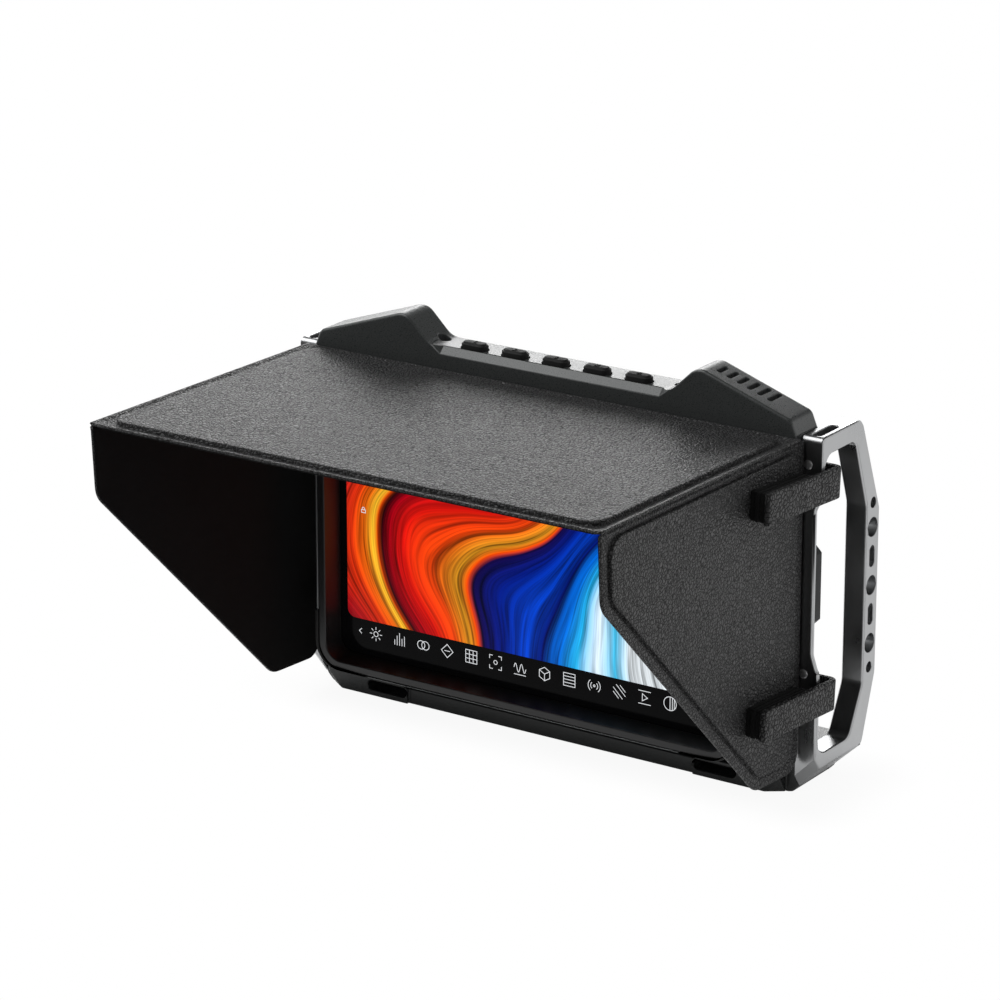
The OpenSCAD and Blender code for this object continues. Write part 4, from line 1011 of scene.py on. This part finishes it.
class MONITOR_OT_buttons(Operator):
    """Builds the rubber buttons with their raised marks"""

    bl_idname = "monitor.buttons"
    bl_label = "Buttons"

    def execute(self, context):
        looks = context.scene.monitor_looks
        settings = looks.buttons
        rubber = moulded("soft_rubber", looks.cage.rubber, 0.3 * MM, 0.62, 0.01 * MM, 0.3)
        marks = self.marks()
        for i in range(settings.count):
            node = f"button_{i + 1}"
            low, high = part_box(node)
            middle = (low + high) / 2
            parts = [self.cap(low, high, middle, settings)]
            foot = np.array([middle.x, middle.y, high.z - 0.04 * MM])
            for flat, closed in marks[i]:
                points, faces = band(np.asarray(flat) * MM, settings.legend_stroke, settings.legend_height, closed)
                parts.append((points + foot, faces))
            made = put(f"button_cap_{i + 1}", join(parts), rubber, node + "_body", 45.0)
            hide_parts(node)
        return {"FINISHED"}

    def cap(self, low, high, middle, settings):
        """Stadium rings (length, width, less, height): flange, lower tier, ledge, crowned upper tier."""
        long, wide = high.x - low.x, high.y - low.y
        flange, tier, top = low.z + 0.8 * MM, high.z - 0.6 * MM, high.z
        l1, w1 = long - 0.9 * MM, wide - 1.2 * MM
        l2, w2 = l1 - 2.0 * settings.ledge, w1 - 2.0 * settings.ledge
        rows = [
            (long, wide, 0.2 * MM, low.z),
            (long, wide, 0.0, low.z + 0.1 * MM),
            (long, wide, 0.0, flange - 0.1 * MM),
            (long, wide, 0.3 * MM, flange),
            (l1, w1, 0.0, flange + 0.05 * MM),
            (l1, w1, 0.0, tier - 0.28 * MM),
            (l1, w1, 0.1 * MM, tier - 0.1 * MM),
            (l1, w1, 0.4 * MM, tier),
            (l1, w1, 1.7 * settings.ledge, tier + 0.02 * MM),
            (l2, w2, 0.0, tier + 0.12 * MM),
            (l2, w2, 0.15 * MM, top - 0.16 * MM),
            (l2, w2, 0.5 * MM, top - 0.03 * MM),
            (l2, w2, 1.1 * MM, top),
        ]
        count = 40
        place = np.array([middle.x, middle.y])
        rings = [
            np.column_stack([stadium(long - less, wide - less, count) + place, np.full(count, z)])
            for long, wide, less, z in rows
        ]
        return skin(np.stack(rings))

    def marks(self):
        """One, two and three, a square, and a ring with a bar: plain marks, in millimetres."""
        two = np.vstack([arc(0, 0.35, 0.42, 160, -30, 10), [(-0.45, -0.8), (0.5, -0.8)]])
        three = np.vstack([arc(0, 0.4, 0.38, 150, -80, 9), arc(0, -0.38, 0.42, 80, -150, 9)])
        return [
            [stroke((-0.35, 0.45), (0.05, 0.8), (0.05, -0.8))],
            [stroke(*two)],
            [stroke(*three)],
            [loop((-0.6, -0.6), (0.6, -0.6), (0.6, 0.6), (-0.6, 0.6))],
            [stroke(*arc(0, -0.05, 0.72, 125, 415, 20)), stroke((0, 0.1), (0, 0.95))],
        ]


class MONITOR_OT_screen(Operator):
    """Builds the cover glass with its lit picture, the row of symbols, the frame and its trims"""

    bl_idname = "monitor.screen"
    bl_label = "Screen"

    def execute(self, context):
        looks = context.scene.monitor_looks
        cage, settings = looks.cage, looks.screen
        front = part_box("cover_glass")[0].y
        picture = screen_picture("screen_picture", settings, front)
        softened("screen_glass", "cover_glass", 0.2 * MM, picture, "root")
        self.symbols(settings, front)
        bezel = moulded("frame_moulding", cage.bezel_plastic, 0.3 * MM, 0.36, 0.008 * MM, 0.55)
        softened("screen_frame", "bezel_frame", 0.45 * MM, bezel, "root")
        rubber = moulded("corner_rubber", cage.rubber, 0.4 * MM, 0.55, 0.015 * MM, 0.35)
        softened("frame_bumpers", "corner_bumpers", 0.35 * MM, rubber, "root")
        rim = blasted_metal("rim_aluminium", (0.3, 0.31, 0.31), 0.34)
        softened("frame_rims", "rim_strips", 0.18 * MM, rim, "root")
        return {"FINISHED"}

    def symbols(self, settings, front):
        """Plain control symbols in a row, and a small lock over the picture."""
        first_x, arrow_x = -63.8 * MM, -70.2 * MM
        lock_x, lock_z = -68.5 * MM, 70.4 * MM
        raised = 0.03 * MM
        parts = []

        def draw(lines, x, z, scale):
            for points, closed in lines:
                flat = np.asarray(points, float) * scale + np.array([x, z])
                solid, faces = band(flat, settings.stroke, raised, closed)
                parts.append((np.stack([solid[:, 0], front - solid[:, 2], solid[:, 1]], 1), faces))

        for k, lines in enumerate(symbol_lines()):
            draw(lines, first_x + k * settings.symbol_pitch, settings.symbol_height, settings.symbol_size)
        draw([stroke((0.3, 0.55), (-0.3, 0), (0.3, -0.55))], arrow_x, settings.symbol_height, 1.7 * MM)
        body = loop((-0.75, -0.8), (0.75, -0.8), (0.75, 0.1), (-0.75, 0.1))
        shackle = stroke((-0.45, 0.1), *arc(0, 0.45, 0.45, 180, 0, 10), (0.45, 0.1))
        draw([body, shackle], lock_x, lock_z, 1.1 * MM)
        put("screen_symbols", join(parts), lit_white("symbol_light"), "root", 60.0)


def stroke(*points):
    """An open line, as (points, closed)."""
    return points, False


def loop(*points):
    """A closed line, as (points, closed)."""
    return points, True


def bar(z, reach=0.95):
    """A level line at the height z, from -reach to reach."""
    return stroke((-reach, z), (reach, z))


def post(x, low, high):
    """An upright line."""
    return stroke((x, low), (x, high))


def symbol_lines():
    """Fourteen plain symbols, each a list of lines within -1..1."""
    box = loop((-0.9, -0.9), (0.9, -0.9), (0.9, 0.9), (-0.9, 0.9))
    corner = np.array([(-0.95, 0.45), (-0.95, 0.95), (-0.45, 0.95)])
    x = np.linspace(-0.95, 0.95, 21)
    wave = np.stack([x, 0.6 * np.sin(x * 6.6)], 1)
    sun = [loop(*arc(0, 0, 0.36, count=14)), *(stroke(d * 0.62, d) for d in arc(0, 0, 1, count=8))]
    bars = [post(x, -0.85, top) for x, top in ((-0.8, -0.1), (-0.4, 0.5), (0, 0.95), (0.4, 0.2), (0.8, 0.6))]
    rings = [loop(*arc(middle, 0, 0.6)) for middle in (-0.35, 0.35)]
    diamond = [loop((0, -0.95), (0.95, 0), (0, 0.95), (-0.95, 0)), bar(0, 0.45)]
    grid = [box, *(post(c, -0.9, 0.9) for c in (-0.3, 0.3)), *(bar(c, 0.9) for c in (-0.3, 0.3))]
    focus = [stroke(*(corner * s)) for s in ((1, 1), (-1, 1), (1, -1), (-1, -1))]
    focus.append(loop(*arc(0, 0, 0.28, count=12)))
    cube = [loop(*arc(0, 0, 0.95, 30, 390, 6))]
    cube += [stroke((0, 0), end) for end in ((0, -0.95), (0.82, 0.475), (-0.82, 0.475))]
    rows = [box, *(bar(c, 0.9) for c in (-0.45, 0.0, 0.45))]
    waves = [stroke(*arc(0, 0, r, a - 50, a + 50, 10)) for r in (0.55, 0.95) for a in (0, 180)]
    waves.append(loop(*arc(0, 0, 0.14, count=8)))
    hatch = [stroke((-0.95, c - 0.4), (c - 0.4, -0.95)) for c in (0.3, 0.9)]
    hatch += [stroke((c, 0.95), (0.95, c)) for c in (-0.5, 0.1)]
    film = [bar(-0.9), bar(0.9), loop((0.45, 0), (-0.35, 0.5), (-0.35, -0.5))]
    half = [loop(*arc(0, 0, 0.95)), *(post(c, -h, h) for c, h in ((0, 0.95), (0.35, 0.85), (0.65, 0.6)))]
    gauge = [stroke(*arc(0, -0.2, 0.9, 200, -20, 18)), stroke((0, -0.2), (0.45, 0.45)), bar(-0.9, 0.8)]
    wave = [stroke(*wave), bar(-0.95)]
    return [sun, bars, rings, diamond, grid, focus, wave, cube, rows, waves, hatch, film, half, gauge]


class MONITOR_OT_rear(Operator):
    """Rounds the rear shell, the battery plates and their latches"""

    bl_idname = "monitor.rear"
    bl_label = "Rear side"

    def execute(self, context):
        settings = context.scene.monitor_looks.cage
        plastic = moulded("shell_moulding", settings.shell_plastic)
        small = settings.hole_edge / settings.shell_edge
        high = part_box("rear_shell")[1]
        post_x, post_low, post_high = 79 * MM, 19 * MM, 114.5 * MM

        def share(x, y, z):
            """The back's outline gets the whole width, its openings and the sides' a small part, the rest none."""
            back = np.abs(y - high.y) < 0.1 * MM
            rim = (x > 77 * MM) | (z > 112 * MM) | (z < 17 * MM)
            beside = np.minimum(np.abs(z - post_low), np.abs(z - post_high))
            posts = back & (np.hypot(x - post_x, beside) < 4 * MM)
            openings = back | (x > 83.9 * MM)
            return np.where(posts, 0.5 * small, np.where(back & rim, 1.0, np.where(openings, small, 0.0)))

        softened("shell_back", "rear_shell", settings.shell_edge, plastic, "root", share)
        dark = moulded("plate_moulding", (0.013, 0.013, 0.0135), 0.3 * MM, 0.46)
        latch = moulded("latch_moulding", (0.045, 0.045, 0.047), 0.25 * MM, 0.45)
        for side, _ in SIDES:
            softened(f"battery_mount_{side}", f"battery_plate_{side}", 0.35 * MM, dark, "root")
            name, node = f"battery_release_{side}", f"battery_latch_{side}"
            softened(name, node, 0.3 * MM, latch, f"latch_{side}")
        return {"FINISHED"}


class MONITOR_OT_inner(Operator):
    """Gives the CAD nodes that stay their finishes"""

    bl_idname = "monitor.inner"
    bl_label = "Inner parts"

    def execute(self, context):
        board_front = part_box("main_board")[1].y - 1.9 * MM
        finishes = {
            "steel": turned_metal("plain_steel", (0.45, 0.45, 0.45)),
            "dark_steel": turned_metal("black_steel", (0.06, 0.06, 0.062), 0.36),
            "display": moulded("panel_film", (0.02, 0.02, 0.025), 1 * MM, 0.25),
            "diffuser": moulded("diffuser_sheet", (0.75, 0.75, 0.75), 1 * MM, 0.5),
            "chassis_metal": blasted_metal("chassis_aluminium", (0.5, 0.5, 0.5), 0.4),
            "circuit_board": circuit("solder_resist", (0.01, 0.07, 0.03), board_front),
            "antenna_board": circuit("antenna_laminate", (0.3, 0.19, 0.05), 1.0),
            "fan_plastic": moulded("fan_moulding", (0.018, 0.018, 0.018), 0.3 * MM, 0.4),
            "contact_brass": turned_metal("plain_brass", (0.75, 0.55, 0.22), 0.22),
            "dark_metal": bpy.data.materials["ridge_paint"],
            "shell_plastic": bpy.data.materials["shell_moulding"],
        }
        for node in NODES.values():
            if node.hide_render:
                continue
            for holder in node.material_slots:
                wanted = holder.material.name.split(".")[0]
                if wanted not in finishes:
                    raise RuntimeError(f"{node.name} has the slot {wanted}, which has no finish")
                holder.material = finishes[wanted]
        return {"FINISHED"}


class MONITOR_PT_looks(Panel):
    """Lists the field monitor's pieces and settings"""

    bl_idname = "MONITOR_PT_looks"
    bl_label = "Field monitor"
    bl_space_type = "VIEW_3D"
    bl_region_type = "UI"
    bl_category = "Field monitor"

    def draw(self, context):
        looks = context.scene.monitor_looks
        for title in ("Hood", "Cage", "Screen", "Buttons", "Stage"):
            group = getattr(looks, title.lower())
            box = self.layout.box()
            box.label(text=title)
            for key in group.__annotations__:
                box.prop(group, key)
        for operator in OPERATORS:
            self.layout.operator(operator.bl_idname)


OPERATORS = (
    MONITOR_OT_stage,
    MONITOR_OT_hood_top,
    MONITOR_OT_hood_wings,
    MONITOR_OT_straps,
    MONITOR_OT_cage,
    MONITOR_OT_buttons,
    MONITOR_OT_screen,
    MONITOR_OT_rear,
    MONITOR_OT_inner,
)
GROUPS = (HoodSettings, CageSettings, ScreenSettings, ButtonSettings, StageSettings, MonitorLooks)
CLASSES = (*GROUPS, *OPERATORS, MONITOR_PT_looks)


def register():
    for each in CLASSES:
        bpy.utils.register_class(each)
    bpy.types.Scene.monitor_looks = PointerProperty(type=MonitorLooks)


def unregister():
    del bpy.types.Scene.monitor_looks
    for each in reversed(CLASSES):
        bpy.utils.unregister_class(each)


def main():
    """Builds every piece in order."""
    register()
    for operator in OPERATORS:
        group, name = operator.bl_idname.split(".")
        getattr(getattr(bpy.ops, group), name)()


if __name__ == "__main__":
    main()
